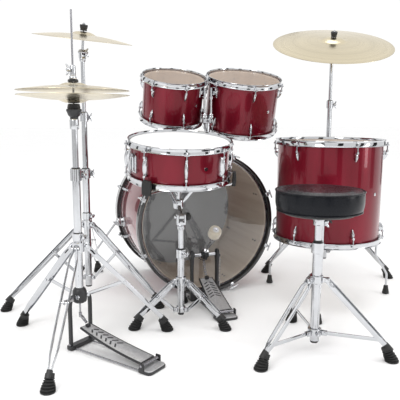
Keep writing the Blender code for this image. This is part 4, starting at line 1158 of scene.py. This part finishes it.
def cup_nut(piece, place, low):
    """The black fluted nut on a cymbal's stud, wider at its top, with the stud's slotted end above."""
    profile = [
        (0.0034, low), (0.0122, low), (0.0128, low + 0.0012), (0.0150, low + 0.0165), (0.0146, low + 0.0178),
        (0.0034, low + 0.0182)
    ]
    piece.lathe(profile, NYLON, place, 28, loop=True)
    for k in range(14):
        foot, top = polar(0.0126, 360 * k / 14, low + 0.0025), polar(0.0149, 360 * k / 14, low + 0.0155)
        piece.pin(place @ foot, place @ top, 0.0009, NYLON, 6)
    piece.lathe(
        [
            (0, low + 0.0180), (0.0060, low + 0.0180), (0.0064, low + 0.0190), (0.0064, low + 0.0215),
            (0.0050, low + 0.0225), (0, low + 0.0225)
        ],
        CHROME, place, 20
    )


def build_cymbal_stand(name):
    size = STANDS[name]
    tilter = pivot(f"{name}_tilt")
    axis = tilter.xy.to_3d()
    low, high, hole = size["low"], size["high"], size["hole"]
    normal = Vector(size["normal"]).normalized()
    hinge = UP.cross(normal).normalized()
    base = Piece(f"{name}_tripod")
    tripod(base, axis, **size["legs"])
    tube_wall(base, axis, 0.044, low, STAND_TUBE)
    base.lathe(
        [(0, 0.036), (0.0120, 0.038), (0.0136, 0.044), (0.0136, 0.050), (0, 0.050)], NYLON, moved(axis), 28
    )
    tube_wall(base, axis, low, high, STAND_MIDDLE_TUBE)
    clamp(base, axis, low, STAND_TUBE, 20, 0.036)
    clamp(base, axis, high, STAND_MIDDLE_TUBE, 20, 0.034)
    clamp(base, axis, size["legs"]["top"] + 0.046, STAND_TUBE, 330, 0.024)
    base.done("kit", f"{name}_stand_base", slot="chrome")
    tube = Piece(f"{name}_mast")
    tube_wall(tube, axis, high - 0.020, tilter.z - 0.018, STAND_UPPER_TUBE)
    turn = Matrix.Rotation(math.atan2(hinge.y, hinge.x), 4, "Z")
    tube.lathe(
        [(0, -0.036), (0.0100, -0.036), (0.0120, -0.032), (0.0120, -0.020), (0.0100, -0.017), (0, -0.017)],
        CHROME, moved(tilter), 28
    )
    for sign in (-1, 1):
        ear = moved(tilter + hinge * (sign * 0.0096) - UP * 0.0065) @ turn
        tube.slab((0.0046, 0.019, 0.034), ear, CHROME, 0.0016, 0.0012)
    tube.axle(tilter, hinge, 0.0190, 0.0032, CHROME, 14)
    tube.wing_nut(tilter + hinge * 0.0130, hinge, UP, CHROME, 0.95)
    tube.nut(tilter - hinge * 0.0120, -hinge, 0.0060, 0.0045, CHROME)
    tube.done(f"{name}_tube", f"{name}_upper_tube", slot="chrome")
    stud = stood(tilter, normal)
    top = Piece(f"{name}_stud")
    top.lathe(
        [(0, 0), (0.0098, 0), (0.0098, 0.0004), (0, 0.0004)], CHROME, stood(tilter - hinge * 0.0062, hinge),
        24
    )
    top.axle(tilter, hinge, 0.0062, 0.0100, STEEL, 28)
    top.pin(stud @ Vector((0, 0, 0.004)), stud @ Vector((0, 0, hole - 0.018)), 0.0050, CHROME, 18)
    top.lathe(
        [
            (0, hole - 0.0220), (0.0110, hole - 0.0220), (0.0195, hole - 0.0175), (0.0195, hole - 0.0155),
            (0, hole - 0.0155)
        ],
        STEEL, stud, 28
    )
    top.lathe(
        [
            (0, hole - 0.0150), (0.0150, hole - 0.0148), (0.0158, hole - 0.0120), (0.0120, hole - 0.0060),
            (0, hole - 0.0055)
        ],
        FELT, stud, 28
    )
    top.pin(stud @ Vector((0, 0, hole - 0.006)), stud @ Vector((0, 0, hole + 0.033)), 0.0032, STEEL, 14)
    top.lathe(
        [
            (0, hole + 0.0030), (0.0125, hole + 0.0030), (0.0136, hole + 0.0050), (0.0125, hole + 0.0078),
            (0, hole + 0.0080)
        ],
        FELT, stud, 28
    )
    cup_nut(top, stud, hole + 0.0078)
    top.done(f"{name}_arm", f"{name}_tilter", slot="chrome")
    seat = stud @ moved((0, 0, hole - size["height"] + 0.0010))
    cymbal(
        f"{name}_plate", seat, size["radius"], size["height"], size["bell"], f"{name}_plate", f"{name}_cymbal"
    )


# ---- pedals --------------------------------------------------------------------------------------------
def footboard(piece, heel, toe, across, width_heel, width_toe):
    """A cast board: black edge frame, silver tread, grip ribs and edge rails."""
    length = (toe - heel).length
    along = (toe - heel).normalized()
    normal = across.cross(along)
    if normal.z < 0:
        normal = -normal
    steps = 14

    def width(t):
        return lerp(width_heel, width_toe, t) + 0.006 * math.sin(math.pi * t)

    def sag(t):
        return -0.0055 * math.sin(math.pi * t)

    for inset, low, high, finish in ((0, -0.0042, 0.0012, ENAMEL), (0.0040, 0.0004, 0.0026, CAST)):
        rings = []
        for k in range(steps + 1):
            t = 0.03 + 0.97 * k / steps
            half = width(t) / 2 - inset
            middle = heel + along * (length * t) + normal * sag(t)
            end = 0.0 if 0 < k < steps else inset
            middle += along * (end if k == 0 else -end)
            rings.append(
                [
                    middle + across * x + normal * y for x,
                    y in (
                        (-half, low), (-half, high - 0.0006), (-half + 0.0008, high), (half - 0.0008, high),
                        (half, high - 0.0006), (half, low)
                    )
                ]
            )
        piece.loft(rings, finish)
    for k in range(6):
        t = 0.50 + 0.075 * k
        middle = heel + along * (length * t) + normal * (sag(t) + 0.0028)
        for sign in (-1, 1):
            start = middle + across * (sign * 0.0030)
            end = middle + across * (sign * (width(t) / 2 - 0.011)) - along * 0.012
            piece.tube([start, end], 1, ENAMEL, outline=rounded(0.0052, 0.0016, 0.0006))
    for sign in (-1, 1):
        rail = [
            heel + along * (length * t) + across * (
                sign * (width(t) / 2 - 0.0018)
            ) + normal * (sag(t) + 0.0012)
            for t in [0.04 + 0.096 * j for j in range(11)]
        ]
        piece.tube(rail, 0.0016, ENAMEL, 8)
    return normal


def heel_block(piece, heel, along, across, width):
    """The heel plate with its silver top plate and hinge ears with their nuts."""
    turn = Matrix((across, along, UP)).transposed().to_4x4()
    middle = heel - along * 0.007
    piece.slab(
        (width + 0.016, 0.052, 0.0085), moved(Vector((middle.x, middle.y, 0.0048))) @ turn, ENAMEL, 0.014,
        0.0012
    )
    piece.slab(
        (width + 0.010, 0.044, 0.0040), moved(Vector((middle.x, middle.y, 0.0105)) - along * 0.002) @ turn,
        CAST, 0.012, 0.001
    )
    for sign in (-1, 1):
        ear = heel + across * (sign * (width / 2 + 0.0056))
        piece.slab(
            (0.0046, 0.018, 0.027), moved(Vector((ear.x, ear.y, 0.0180))) @ turn, ENAMEL, 0.0018, 0.0012
        )
        piece.nut(
            Vector((ear.x, ear.y, heel.z)) + across * sign * 0.0022, across * sign, 0.0044, 0.0026, STEEL
        )


def chain(piece, points, across):
    """A roller chain laid along a path."""
    spots, carry = [Vector(points[0])], 0.0
    for a, b in zip(points, points[1:]):
        a, b = Vector(a), Vector(b)
        span = (b - a).length
        at = CHAIN_PITCH - carry
        while at <= span:
            spots.append(lerp(a, b, at / span))
            at += CHAIN_PITCH
        carry = span - (at - CHAIN_PITCH)
    for k, (a, b) in enumerate(zip(spots, spots[1:])):
        shift = 0.0040 if k % 2 else 0.0027
        way = (b - a).normalized()
        for sign in (-1, 1):
            middle = across * (sign * shift)
            piece.strip(
                [a - way * 0.0030 + middle, lerp(a, b, 0.5) + middle, b + way * 0.0030 + middle], 0.0062,
                0.0011, across, STEEL, 0.0004
            )
    for spot in spots:
        piece.axle(spot, across, 0.0052, 0.0019, STEEL, 8)
        piece.axle(spot, across, 0.0026, 0.0032, STEEL, 10)


def build_bass_pedal():
    axle, heel = pivot("bass_beater_swing"), pivot("bass_pedal_hinge")
    half = 0.054
    foot = Vector((axle.x, axle.y, 0))
    base = Piece("bass_pedal_chassis")
    base.slab((0.122, 0.050, 0.0105), moved(foot + Vector((0, 0.020, 0.0060))), ENAMEL, 0.008, 0.0015)
    for sign in (-1, 1):
        rings = []
        for height, wide, deep, shift in (
            (0.008, 0.0130, 0.034, 0.004), (0.030, 0.0120, 0.026, 0.002), (0.090, 0.0110, 0.020, 0),
            (0.150, 0.0110, 0.020, 0), (0.172, 0.0125, 0.026, 0), (0.190, 0.0130, 0.029, 0),
            (0.205, 0.0120, 0.024, 0), (0.2105, 0.0090, 0.013, 0)
        ):
            middle = foot + Vector((sign * half, shift, height))
            rings.append([middle + Vector((x, y, 0)) for x, y in rounded(wide, deep, 0.0036)])
        base.loft(rings, ENAMEL)
        ear = axle + ACROSS * (sign * (half + 0.0052))
        base.nut(ear, ACROSS * sign, 0.0092, 0.0030, STEEL, 20)
        rail = [foot + Vector((sign * 0.030, 0.002, 0.0062)), Vector((axle.x + sign * 0.030, heel.y, 0.0062))]
        base.tube(rail, 0.0026, STEEL, 10)
    heel_block(base, heel, ALONG, ACROSS, 0.070)
    hoop_front = BATTER_Y - HOOP_INSET
    base.slab(
        (0.044, 0.030, 0.007), moved(Vector((axle.x, hoop_front - 0.008, 0.0042 + 0.0115))), ENAMEL, 0.004,
        0.001
    )
    spring_top = axle + ACROSS * 0.0665 - UP * 0.012
    spring_low = foot + ACROSS * 0.0650 + UP * 0.062
    turns, wire = 15, []
    for k in range(turns * 10 + 1):
        t = k / (turns * 10)
        wire.append(
            lerp(spring_top - UP * 0.014, spring_low + UP * 0.010, t) + Vector(
                (polar(0.0052, 36 * k).x, polar(0.0052, 36 * k).y, 0)
            )
        )
    base.tube(wire, 0.00095, NICKEL, 7)
    base.axle(spring_low, UP, 0.012, 0.0024, STEEL, 10)
    base.nut(spring_low - UP * 0.006, UP, 0.0056, 0.004, STEEL)
    base.slab((0.014, 0.012, 0.006), moved(spring_low - UP * 0.010 - ACROSS * 0.005), ENAMEL, 0.002, 0.001)
    base.pin(spring_top - UP * 0.016, spring_top, 0.0014, STEEL, 8)
    base.done("kit", "bass_pedal_frame", slot="black_metal")
    board_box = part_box("bass_pedal_footboard")
    toe = Vector((axle.x, board_box[1][1], board_box[1][2] - 0.004))
    board = Piece("bass_pedal_tread")
    normal = footboard(board, heel, toe, ACROSS, 0.066, 0.058)
    board.axle(heel, ACROSS, 0.0355, 0.0052, STEEL, 16)
    hook = toe - ALONG * 0.010 + normal * 0.006
    board.slab((0.016, 0.012, 0.012), stood(hook, normal), ENAMEL, 0.002, 0.001)
    board.done("pedal_board", "bass_pedal_footboard", slot="cast_silver")
    swing = Piece("bass_pedal_beater_shaft")
    swing.pin(axle - ACROSS * (half + 0.0085), axle + ACROSS * (half + 0.0120), 0.0047, STEEL, 20)
    cam = [
        (0, -0.0060), (0.0200, -0.0060), (0.0225, -0.0046), (0.0200, -0.0030), (0.0200, 0.0030),
        (0.0225, 0.0046), (0.0200, 0.0060), (0, 0.0060)
    ]
    swing.lathe(cam, ENAMEL, stood(axle, ACROSS), 36)
    swing.axle(axle, ACROSS, 0.0150, 0.0120, ENAMEL, 24)
    for sign in (-1, 1):
        swing.pin(axle + ACROSS * (sign * 0.0160), axle + ACROSS * (sign * 0.0440), 0.0075, CHROME, 24)
    swing.slab((0.005, 0.020, 0.010), moved(axle + ACROSS * 0.0640 - UP * 0.006), ENAMEL, 0.002, 0.001)
    reach = Vector((0, -0.105, 0.112))
    shaft, ball = reach.normalized(), axle + reach
    swing.pin(axle + shaft * 0.010, ball + shaft * 0.022, 0.0032, STEEL, 16)
    swing.slab((0.018, 0.016, 0.024), stood(axle + shaft * 0.019, shaft), CHROME, 0.003, 0.0015)
    felt = [
        (0, -0.0185), (0.0195, -0.0185), (0.0235, -0.0155), (0.0246, -0.0050), (0.0246, 0.0060),
        (0.0232, 0.0155), (0.0200, 0.0185), (0, 0.0185)
    ]
    swing.lathe(felt, CREAM_FELT, stood(ball, shaft), 40)
    swing.lathe(
        [(0, 0.0184), (0.0120, 0.0184), (0.0124, 0.0196), (0.0060, 0.0206), (0, 0.0206)], CAST,
        stood(ball, shaft), 28
    )
    swing.nut(ball + shaft * 0.0200, shaft, 0.0056, 0.0042, STEEL, 6)
    swing.done("pedal_beater", "bass_pedal_beater", slot="black_metal")
    link = Piece("bass_pedal_chain")
    start, end = axle + ALONG * 0.0255, hook + ALONG * 0.010 + UP * 0.004
    wrap = [
        axle + Vector((0, 0.0255 * math.cos(math.radians(a)), 0.0255 * math.sin(math.radians(a))))
        for a in range(125, 0, -9)
    ]
    chain(link, wrap + [lerp(start, end, t / 8) for t in range(9)], ACROSS)
    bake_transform(link.done(None, slot="chrome"))


def build_hihat():
    axis = centre("hihat_top_cymbal").xy.to_3d()
    toward, across = polar(1, HAT_PEDAL_BEARING), polar(1, HAT_PEDAL_BEARING + 90)
    heel = pivot("hihat_pedal_hinge")
    base = Piece("hihat_tripod")
    tripod(base, axis, **HIHAT_TRIPOD)
    tube_wall(base, axis, 0.186, 0.578, HAT_TUBE)
    clamp(base, axis, 0.578, HAT_TUBE, 40, 0.036)
    clamp(base, axis, HIHAT_TRIPOD["top"] + 0.044, HAT_TUBE, 330, 0.022)
    at = moved(axis)
    base.lathe(
        [
            (0.0040, 0.148), (0.0165, 0.148), (0.0215, 0.152), (0.0230, 0.160), (0.0230, 0.182),
            (0.0205, 0.190), (0.0165, 0.196), (0.0127, 0.198), (0.0040, 0.198)
        ],
        ENAMEL, at, 32, loop=True
    )
    turn = Matrix((across, toward, UP)).transposed().to_4x4()
    for sign in (-1, 1):
        arch = [
            (0.016, 0.176), (0.030, 0.172), (0.0395, 0.160), (0.0430, 0.140), (0.0430, 0.080), (0.0430, 0.012)
        ]
        base.strip(
            curve([axis + across * (sign * x) + UP * z for x, z in arch], 5), 0.0092, 0.0125, toward, ENAMEL,
            0.002
        )
        rail = [
            axis + across * sign * 0.036 + UP * 0.0065,
            Vector((heel.x, heel.y, 0.0065)) + across * sign * 0.036
        ]
        base.tube(rail, 0.0026, STEEL, 10)
        base.nut(axis + across * sign * 0.0475 + UP * 0.018, across * sign, 0.0050, 0.0035, STEEL)
    base.slab((0.106, 0.024, 0.0135), moved(axis + UP * 0.0085) @ turn, ENAMEL, 0.006, 0.0015)
    heel_block(base, heel, -toward, across, 0.066)
    base.done("kit", "hihat_base", slot="chrome")
    upper = Piece("hihat_upper_mast")
    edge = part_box("hihat_bottom_cymbal")[1][2] - 0.0013
    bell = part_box("hihat_bottom_cymbal")[0][2] + 0.0014
    tube_wall(upper, axis, 0.545, 0.742, 0.0092)
    upper.lathe(
        [
            (0.0040, 0.700), (0.0130, 0.700), (0.0142, 0.703), (0.0142, 0.728), (0.0130, 0.731),
            (0.0040, 0.731)
        ],
        CHROME, at, 28, loop=True
    )
    upper.lathe(
        [
            (0.0040, 0.731), (0.0125, 0.731), (0.0125, 0.737), (0.0180, 0.742), (0.0215, 0.752),
            (0.0235, 0.756), (0.0235, 0.760), (0.0205, 0.762), (0.0040, 0.762)
        ],
        ENAMEL, at, 32, loop=True
    )
    upper.lathe(
        [
            (0.0050, 0.762), (0.0190, 0.762), (0.0200, 0.765), (0.0180, bell - 0.004),
            (0.0150, bell - 0.0022), (0.0050, bell - 0.0022)
        ],
        FELT, at, 32, loop=True
    )
    screw = axis + across * 0.019 + UP * 0.748
    upper.pin(screw, screw + across * 0.012, 0.0022, CHROME, 12)
    upper.nut(screw + across * 0.010, across, 0.0050, 0.0045, CHROME, 12)
    upper.done("hihat_upper", "hihat_upper_tube", slot="chrome")
    flip = moved(axis + UP * edge) @ TURNED_OVER
    cymbal("hihat_lower_plate", flip, HAT_RADIUS, 0.024, 0.046, "hihat_upper", "hihat_bottom_cymbal")
    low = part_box("hihat_top_cymbal")[0][2] + 0.0014
    cymbal(
        "hihat_upper_plate", moved(axis + UP * low), HAT_RADIUS, 0.024, 0.046, "hihat_pull",
        "hihat_top_cymbal"
    )
    rod_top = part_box("hihat_rod")[1][2]
    top = low + 0.024
    pull = Piece("hihat_pull_rod")
    tube_wall(pull, axis, 0.104, rod_top, 0.0030, STEEL, 14)
    pull.lathe(
        [
            (0.0030, top + 0.0006), (0.0150, top + 0.0006), (0.0166, top + 0.003), (0.0150, top + 0.0085),
            (0.0030, top + 0.009)
        ],
        FELT, at, 28, loop=True
    )
    pull.lathe(
        [(0.0030, top - 0.0150), (0.0055, top - 0.0150), (0.0055, top + 0.0100), (0.0030, top + 0.010)],
        CHROME, at, 20, loop=True
    )
    pull.lathe(
        [
            (0.0030, top + 0.0092), (0.0105, top + 0.0092), (0.0115, top + 0.011), (0.0115, top + 0.016),
            (0.0100, top + 0.018), (0.0030, top + 0.018)
        ],
        CHROME, at, 8, loop=True
    )
    pull.lathe(
        [
            (0.0030, top + 0.0180), (0.0080, top + 0.0180), (0.0092, top + 0.022), (0.0092, top + 0.046),
            (0.0076, top + 0.050), (0.0030, top + 0.050)
        ],
        CHROME, at, 28, loop=True
    )
    bolt = axis + UP * (top + 0.036)
    way = polar(1, 215)
    pull.pin(bolt, bolt + way * 0.018, 0.0032, CHROME, 12)
    pull.wing_nut(bolt + way * 0.0125, way, UP, CHROME, 0.95)
    toe_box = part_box("hihat_footboard")
    toe = Vector((axis.x, axis.y, 0)) + toward * 0.022 + UP * (toe_box[1][2] - 0.004)
    hook = toe + toward * 0.012 + UP * 0.006
    chain(pull, [axis + UP * 0.106, lerp(axis + UP * 0.106, hook, 0.5), hook], across)
    pull.pin(axis + UP * 0.098, axis + UP * 0.114, 0.0050, STEEL, 14)
    pull.done("hihat_pull", "hihat_rod", slot="chrome")
    board = Piece("hihat_tread")
    footboard(board, heel, toe, across, 0.062, 0.046)
    board.axle(heel, across, 0.0335, 0.0052, STEEL, 16)
    board.slab((0.014, 0.012, 0.010), moved(hook - UP * 0.003) @ turn, ENAMEL, 0.002, 0.001)
    board.done("hihat_pedal", "hihat_footboard", slot="cast_silver")


# ---- throne --------------------------------------------------------------------------------------------
def build_throne():
    seat_at = pivot("throne_seat_spin")
    axis = seat_at.xy.to_3d()
    column = Piece("throne_tube")
    tube_wall(column, axis, 0.030, 0.350, THRONE_TUBE)
    column.lathe(
        [(0, 0.022), (0.0120, 0.024), (0.0136, 0.031), (0.0136, 0.034), (0, 0.034)], NYLON, moved(axis), 28
    )
    clamp(column, axis, 0.352, THRONE_TUBE, 100, 0.032)
    leg_pivot = pivot("throne_leg_1_fold")
    ring_z = leg_pivot.z
    column.lathe(
        [
            (THRONE_TUBE - 0.001, ring_z + 0.012), (0.0200, ring_z + 0.012), (0.0212, ring_z + 0.0105),
            (0.0212, ring_z - 0.0105), (0.0200, ring_z - 0.012), (THRONE_TUBE - 0.001, ring_z - 0.012)
        ],
        CHROME, moved(axis), 32, loop=True
    )
    for k in range(3):
        bearing = THRONE_BEARING + 120 * k
        turn = spun(bearing)
        column.slab(
            (0.026, 0.0090, 0.0165), moved(axis + polar(0.0290, bearing, ring_z)) @ turn, CHROME, 0.003,
            0.0012
        )
    column.done("kit", "throne_column", slot="chrome")
    hub_z = pivot("throne_brace_1_fold").z
    hub = Piece("throne_ring")
    hub.lathe(
        [
            (THRONE_TUBE + 0.0009, hub_z + 0.0125), (0.0205, hub_z + 0.0125), (0.0218, hub_z + 0.011),
            (0.0218, hub_z - 0.011), (0.0205, hub_z - 0.0125), (THRONE_TUBE + 0.0009, hub_z - 0.0125)
        ],
        CHROME, moved(axis), 32, loop=True
    )
    for k in range(3):
        bearing = THRONE_BEARING + 120 * k
        turn, side = spun(bearing), polar(1, bearing + 90)
        spot = pivot(f"throne_brace_{k + 1}_fold")
        for sign in (-1, 1):
            hub.slab(
                (0.024, 0.0030, 0.0145),
                moved(axis + polar(0.0285, bearing, hub_z) + side * sign * 0.0055) @ turn, CHROME, 0.0010,
                0.0008
            )
        hub.axle(spot, side, 0.0092, 0.0026, CHROME, 12)
        hub.nut_pair(spot, side, 0.0070, 0.0046, 0.0026, CHROME)
    screw = axis + polar(0.0215, THRONE_BEARING + 60, hub_z)
    way = polar(1, THRONE_BEARING + 60)
    hub.pin(screw, screw + way * 0.010, 0.0034, CHROME, 12)
    hub.wing_nut(screw + way * 0.006, way, UP, CHROME, 0.95)
    hub.done("throne_ring", "throne_hub", slot="chrome")
    for k in range(3):
        bearing = THRONE_BEARING + 120 * k
        side = polar(1, bearing).cross(UP)
        high = pivot(f"throne_leg_{k + 1}_fold")
        foot = axis + polar(THRONE_REACH - 0.006, bearing, 0.036)
        lean = (high - foot).normalized()
        piece = Piece(f"throne_leg_strips_{k + 1}")
        leg(piece, high, foot, side, 0.0072, 0.0122)
        for sign in (-1, 1):
            piece.nut(high + side * sign * 0.0082, side * sign, 0.0056, 0.0030, CHROME, 12)
        ribbed_foot(piece, axis + polar(THRONE_REACH, bearing), lean)
        cuff = foot + lean * 0.010
        piece.tube(
            [cuff - lean * 0.014, cuff + lean * 0.012], 1, NYLON, outline=rounded(0.0150, 0.0190, 0.004)
        )
        piece.done(f"throne_leg_{k + 1}", f"throne_leg_{k + 1}", slot="chrome")
        inner = pivot(f"throne_brace_{k + 1}_fold")
        joint = lerp(high, foot, 0.86)
        along = (joint - inner).normalized()
        brace = Piece(f"throne_brace_strip_{k + 1}")
        brace.strip(
            [inner, lerp(inner, joint, 0.5), joint - along * 0.004], 0.0125, 0.0026, side, CHROME, 0.0009
        )
        brace.axle(inner, side, 0.0013, 0.0068, CHROME, 18)
        brace.pin(
            joint - along * 0.004 - side * 0.0013, joint - along * 0.004 + side * 0.0013, 0.0062, CHROME, 18
        )
        brace.done(f"throne_brace_{k + 1}", f"throne_brace_{k + 1}", slot="chrome")
    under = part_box("throne_seat")[1][2] - SEAT_THICK
    post = Piece("throne_mast")
    tube_wall(post, axis, 0.330, under - 0.026, 0.0112)
    at = moved(axis)
    post.lathe(
        [
            (0, under - 0.040), (0.0150, under - 0.040), (0.0168, under - 0.038), (0.0172, under - 0.026),
            (0.0215, under - 0.020), (0.0330, under - 0.0105), (0.0340, under - 0.0092), (0, under - 0.0092)
        ],
        CHROME, at, 36
    )
    way = polar(1, 345)
    bolt = axis + UP * (under - 0.030)
    post.pin(bolt, bolt + way * 0.026, 0.0034, CHROME, 12)
    post.wing_nut(bolt + way * 0.0185, way, UP, CHROME, 1.0)
    post.lathe(
        [(0.0110, 0.354), (0.0134, 0.354), (0.0134, 0.3600), (0.0110, 0.3600)], NYLON, at, 24, loop=True
    )
    post.done("throne_mast", "throne_post", slot="chrome")
    build_seat(axis, under)


def swell(piece, seams, pressure, cap):
    """Blows a closed cover up by a short cloth run: the seams hold, the rest moves no more than cap."""
    scene = bpy.context.scene
    even = piece.modifiers.new("even", "REMESH")
    even.mode, even.voxel_size = "VOXEL", SEAT_VOXEL
    piece.data = bpy.data.meshes.new_from_object(piece.evaluated_get(bpy.context.evaluated_depsgraph_get()))
    piece.modifiers.clear()
    before = [vertex.co.copy() for vertex in piece.data.vertices]
    held = piece.vertex_groups.new(name="seams")
    held.add([k for k, spot in enumerate(before) if seams(spot)], 1.0, "REPLACE")
    cloth = piece.modifiers.new("cloth", "CLOTH")
    cloth.settings.use_pressure, cloth.settings.uniform_pressure_force = True, pressure
    cloth.settings.effector_weights.gravity = 0
    cloth.settings.vertex_group_mass = "seams"
    cloth.collision_settings.use_collision = False
    for moment in range(1, SEAT_FRAMES + 1):
        scene.frame_set(moment)
    swollen = bpy.data.meshes.new_from_object(piece.evaluated_get(bpy.context.evaluated_depsgraph_get()))
    piece.modifiers.clear()
    for vertex, start in zip(swollen.vertices, before):
        move = vertex.co - start
        if move.length > cap:
            vertex.co = start + move * (cap / move.length)
    piece.data = swollen
    piece.data.shade_smooth()
    scene.frame_set(1)


def build_seat(axis, under):
    """A round foam seat under vinyl: a flat panel, two welts, a side band that swells and a board below."""
    rim, top = SEAT_RADIUS, under + SEAT_THICK
    upper_seam, lower_seam = (rim - 0.0050, top - 0.0050), (rim - 0.0100, under + 0.0085)
    start = Piece("throne_cushion", moved(axis))
    start.lathe(
        [
            (0, under + 0.002), (rim - 0.024, under + 0.002), (rim - 0.014, under + 0.0055), lower_seam,
            (rim - 0.0058, under + 0.020), (rim - 0.0040, under + 0.036), (rim - 0.0042, under + 0.054),
            upper_seam, (rim - 0.0090, top - 0.0022), (rim - 0.022, top - 0.0018), (rim * 0.6, top - 0.0025),
            (0, top - 0.0030)
        ],
        VINYL, None, 96
    )
    seat = start.done("throne_cushion", "throne_seat", slot="vinyl", sharp=180)
    def seams(spot):
        out = spot.xy.length
        near = min(math.hypot(out - r, spot.z - z) for r, z in (upper_seam, lower_seam))
        return near < SEAT_VOXEL * 0.8 or spot.z < under + 0.004
    swell(seat, seams, 4.0, 0.0030)
    smooth = seat.modifiers.new("smooth", "SUBSURF")
    smooth.levels = smooth.render_levels = 1
    trim = Piece("throne_seat_trim", moved(axis))
    for radius, height in (upper_seam, lower_seam):
        welt = [polar(radius + 0.0006, 5 * k, height) for k in range(72)]
        trim.tube(welt, 0.0024, VINYL, 10, loop=True)
    trim.lathe(
        [
            (0, under - 0.0080), (0.034, under - 0.0080), (0.036, under - 0.0070), (0.036, under - 0.0030),
            (0, under - 0.0030)
        ],
        ENAMEL, None, 36
    )
    trim.lathe(
        [
            (0, under - 0.003), (rim - 0.030, under - 0.003), (rim - 0.024, under + 0.001),
            (rim - 0.024, under + 0.004), (0, under + 0.004)
        ],
        NYLON, None, 72
    )
    trim.done("throne_cushion", slot="vinyl")


# ---- studio --------------------------------------------------------------------------------------------
def sheet(name, corners, finish):
    """One four-cornered surface of the studio."""
    data = bpy.data.meshes.new(name)
    data.from_pydata(corners, [], [(0, 1, 2, 3)])
    data.materials.append(finish.made)
    return linked(bpy.data.objects.new(name, data))


def build_floor():
    finish = Finish("studio_floor", Roughness=0.75)
    finish.tint(finish.noise(2.0, 2.0), (0.955, 0.955, 0.955), (0.975, 0.975, 0.975))
    corners = [
        (x * FLOOR_REACH, y * FLOOR_REACH, FLOOR_LEVEL) for x, y in ((-1, -1), (1, -1), (1, 1), (-1, 1))
    ]
    sheet("floor", corners, finish)


def area_light(name, at, size, power):
    data = bpy.data.lights.new(name, "AREA")
    data.shape, data.size, data.size_y = "RECTANGLE", *size
    data.energy = power
    light = linked(bpy.data.objects.new(name, data))
    light.location = at
    light.rotation_mode = "QUATERNION"
    light.rotation_quaternion = (LIGHT_AIM - Vector(at)).to_track_quat("-Z", "Y")


def flag(name, bearing, width):
    """A dark studio flag that only shows in reflections."""
    finish = Finish(name, Roughness=0.9)
    finish.tint(finish.noise(3.0), (0.010, 0.010, 0.011), (0.018, 0.018, 0.019))
    middle, side = polar(FLAG_DISTANCE, bearing), polar(width / 2, bearing + 90)
    low, high = UP * FLAG_LOW, UP * FLAG_HIGH
    made = sheet(
        name, [middle - side + low, middle + side + low, middle + side + high, middle - side + high], finish
    )
    made.visible_camera = made.visible_diffuse = made.visible_shadow = made.visible_transmission = False


def build_studio():
    world = bpy.data.worlds.new("studio")
    bpy.context.scene.world = world
    world.use_nodes = True
    background = world.node_tree.nodes["Background"]
    background.inputs["Color"].default_value = (1.0, 1.0, 1.0, 1)
    background.inputs["Strength"].default_value = SKY_STRENGTH
    for name, at, size, power in LIGHTS:
        area_light(name, at, size, power)
    for k, (bearing, width) in enumerate(FLAGS):
        flag(f"flag_{k + 1}", bearing, width)
    bpy.context.scene.view_settings.view_transform = "Standard"


def build_camera():
    place = Vector((BASS_LINE.x, BATTER_Y - HOOP_INSET, 0)) + CAMERA_FROM_BASS
    heading, pitch, roll = (math.radians(a) for a in (CAMERA_HEADING, CAMERA_PITCH, CAMERA_ROLL))
    forward = Vector(
        (math.sin(heading) * math.cos(pitch), math.cos(heading) * math.cos(pitch), -math.sin(pitch))
    )
    right = forward.cross(UP).normalized()
    up = right.cross(forward)
    level = right * math.cos(roll) + up * math.sin(roll)
    upright = up * math.cos(roll) - right * math.sin(roll)
    data = bpy.data.cameras.new("camera")
    data.sensor_width, data.lens = SENSOR_WIDTH, CAMERA_LENS
    camera = linked(bpy.data.objects.new("camera", data))
    camera.matrix_world = moved(place) @ Matrix((level, upright, -forward)).transposed().to_4x4()
    bpy.context.scene.camera = camera


build_camera()
build_studio()
build_floor()
build_bass_drum()
build_tom_holder()
build_tom("tom_1", "tom_1", CLEAR, tom_bracket("tom_1"))
build_tom("tom_2", "tom_2", CLEAR, tom_bracket("tom_2"))
build_tom("floor_tom", "kit", CLEAR, floor_brackets)
build_floor_legs()
build_snare_stand(build_snare())
build_cymbal_stand("crash")
build_cymbal_stand("ride")
build_hihat()
build_throne()
build_bass_pedal()
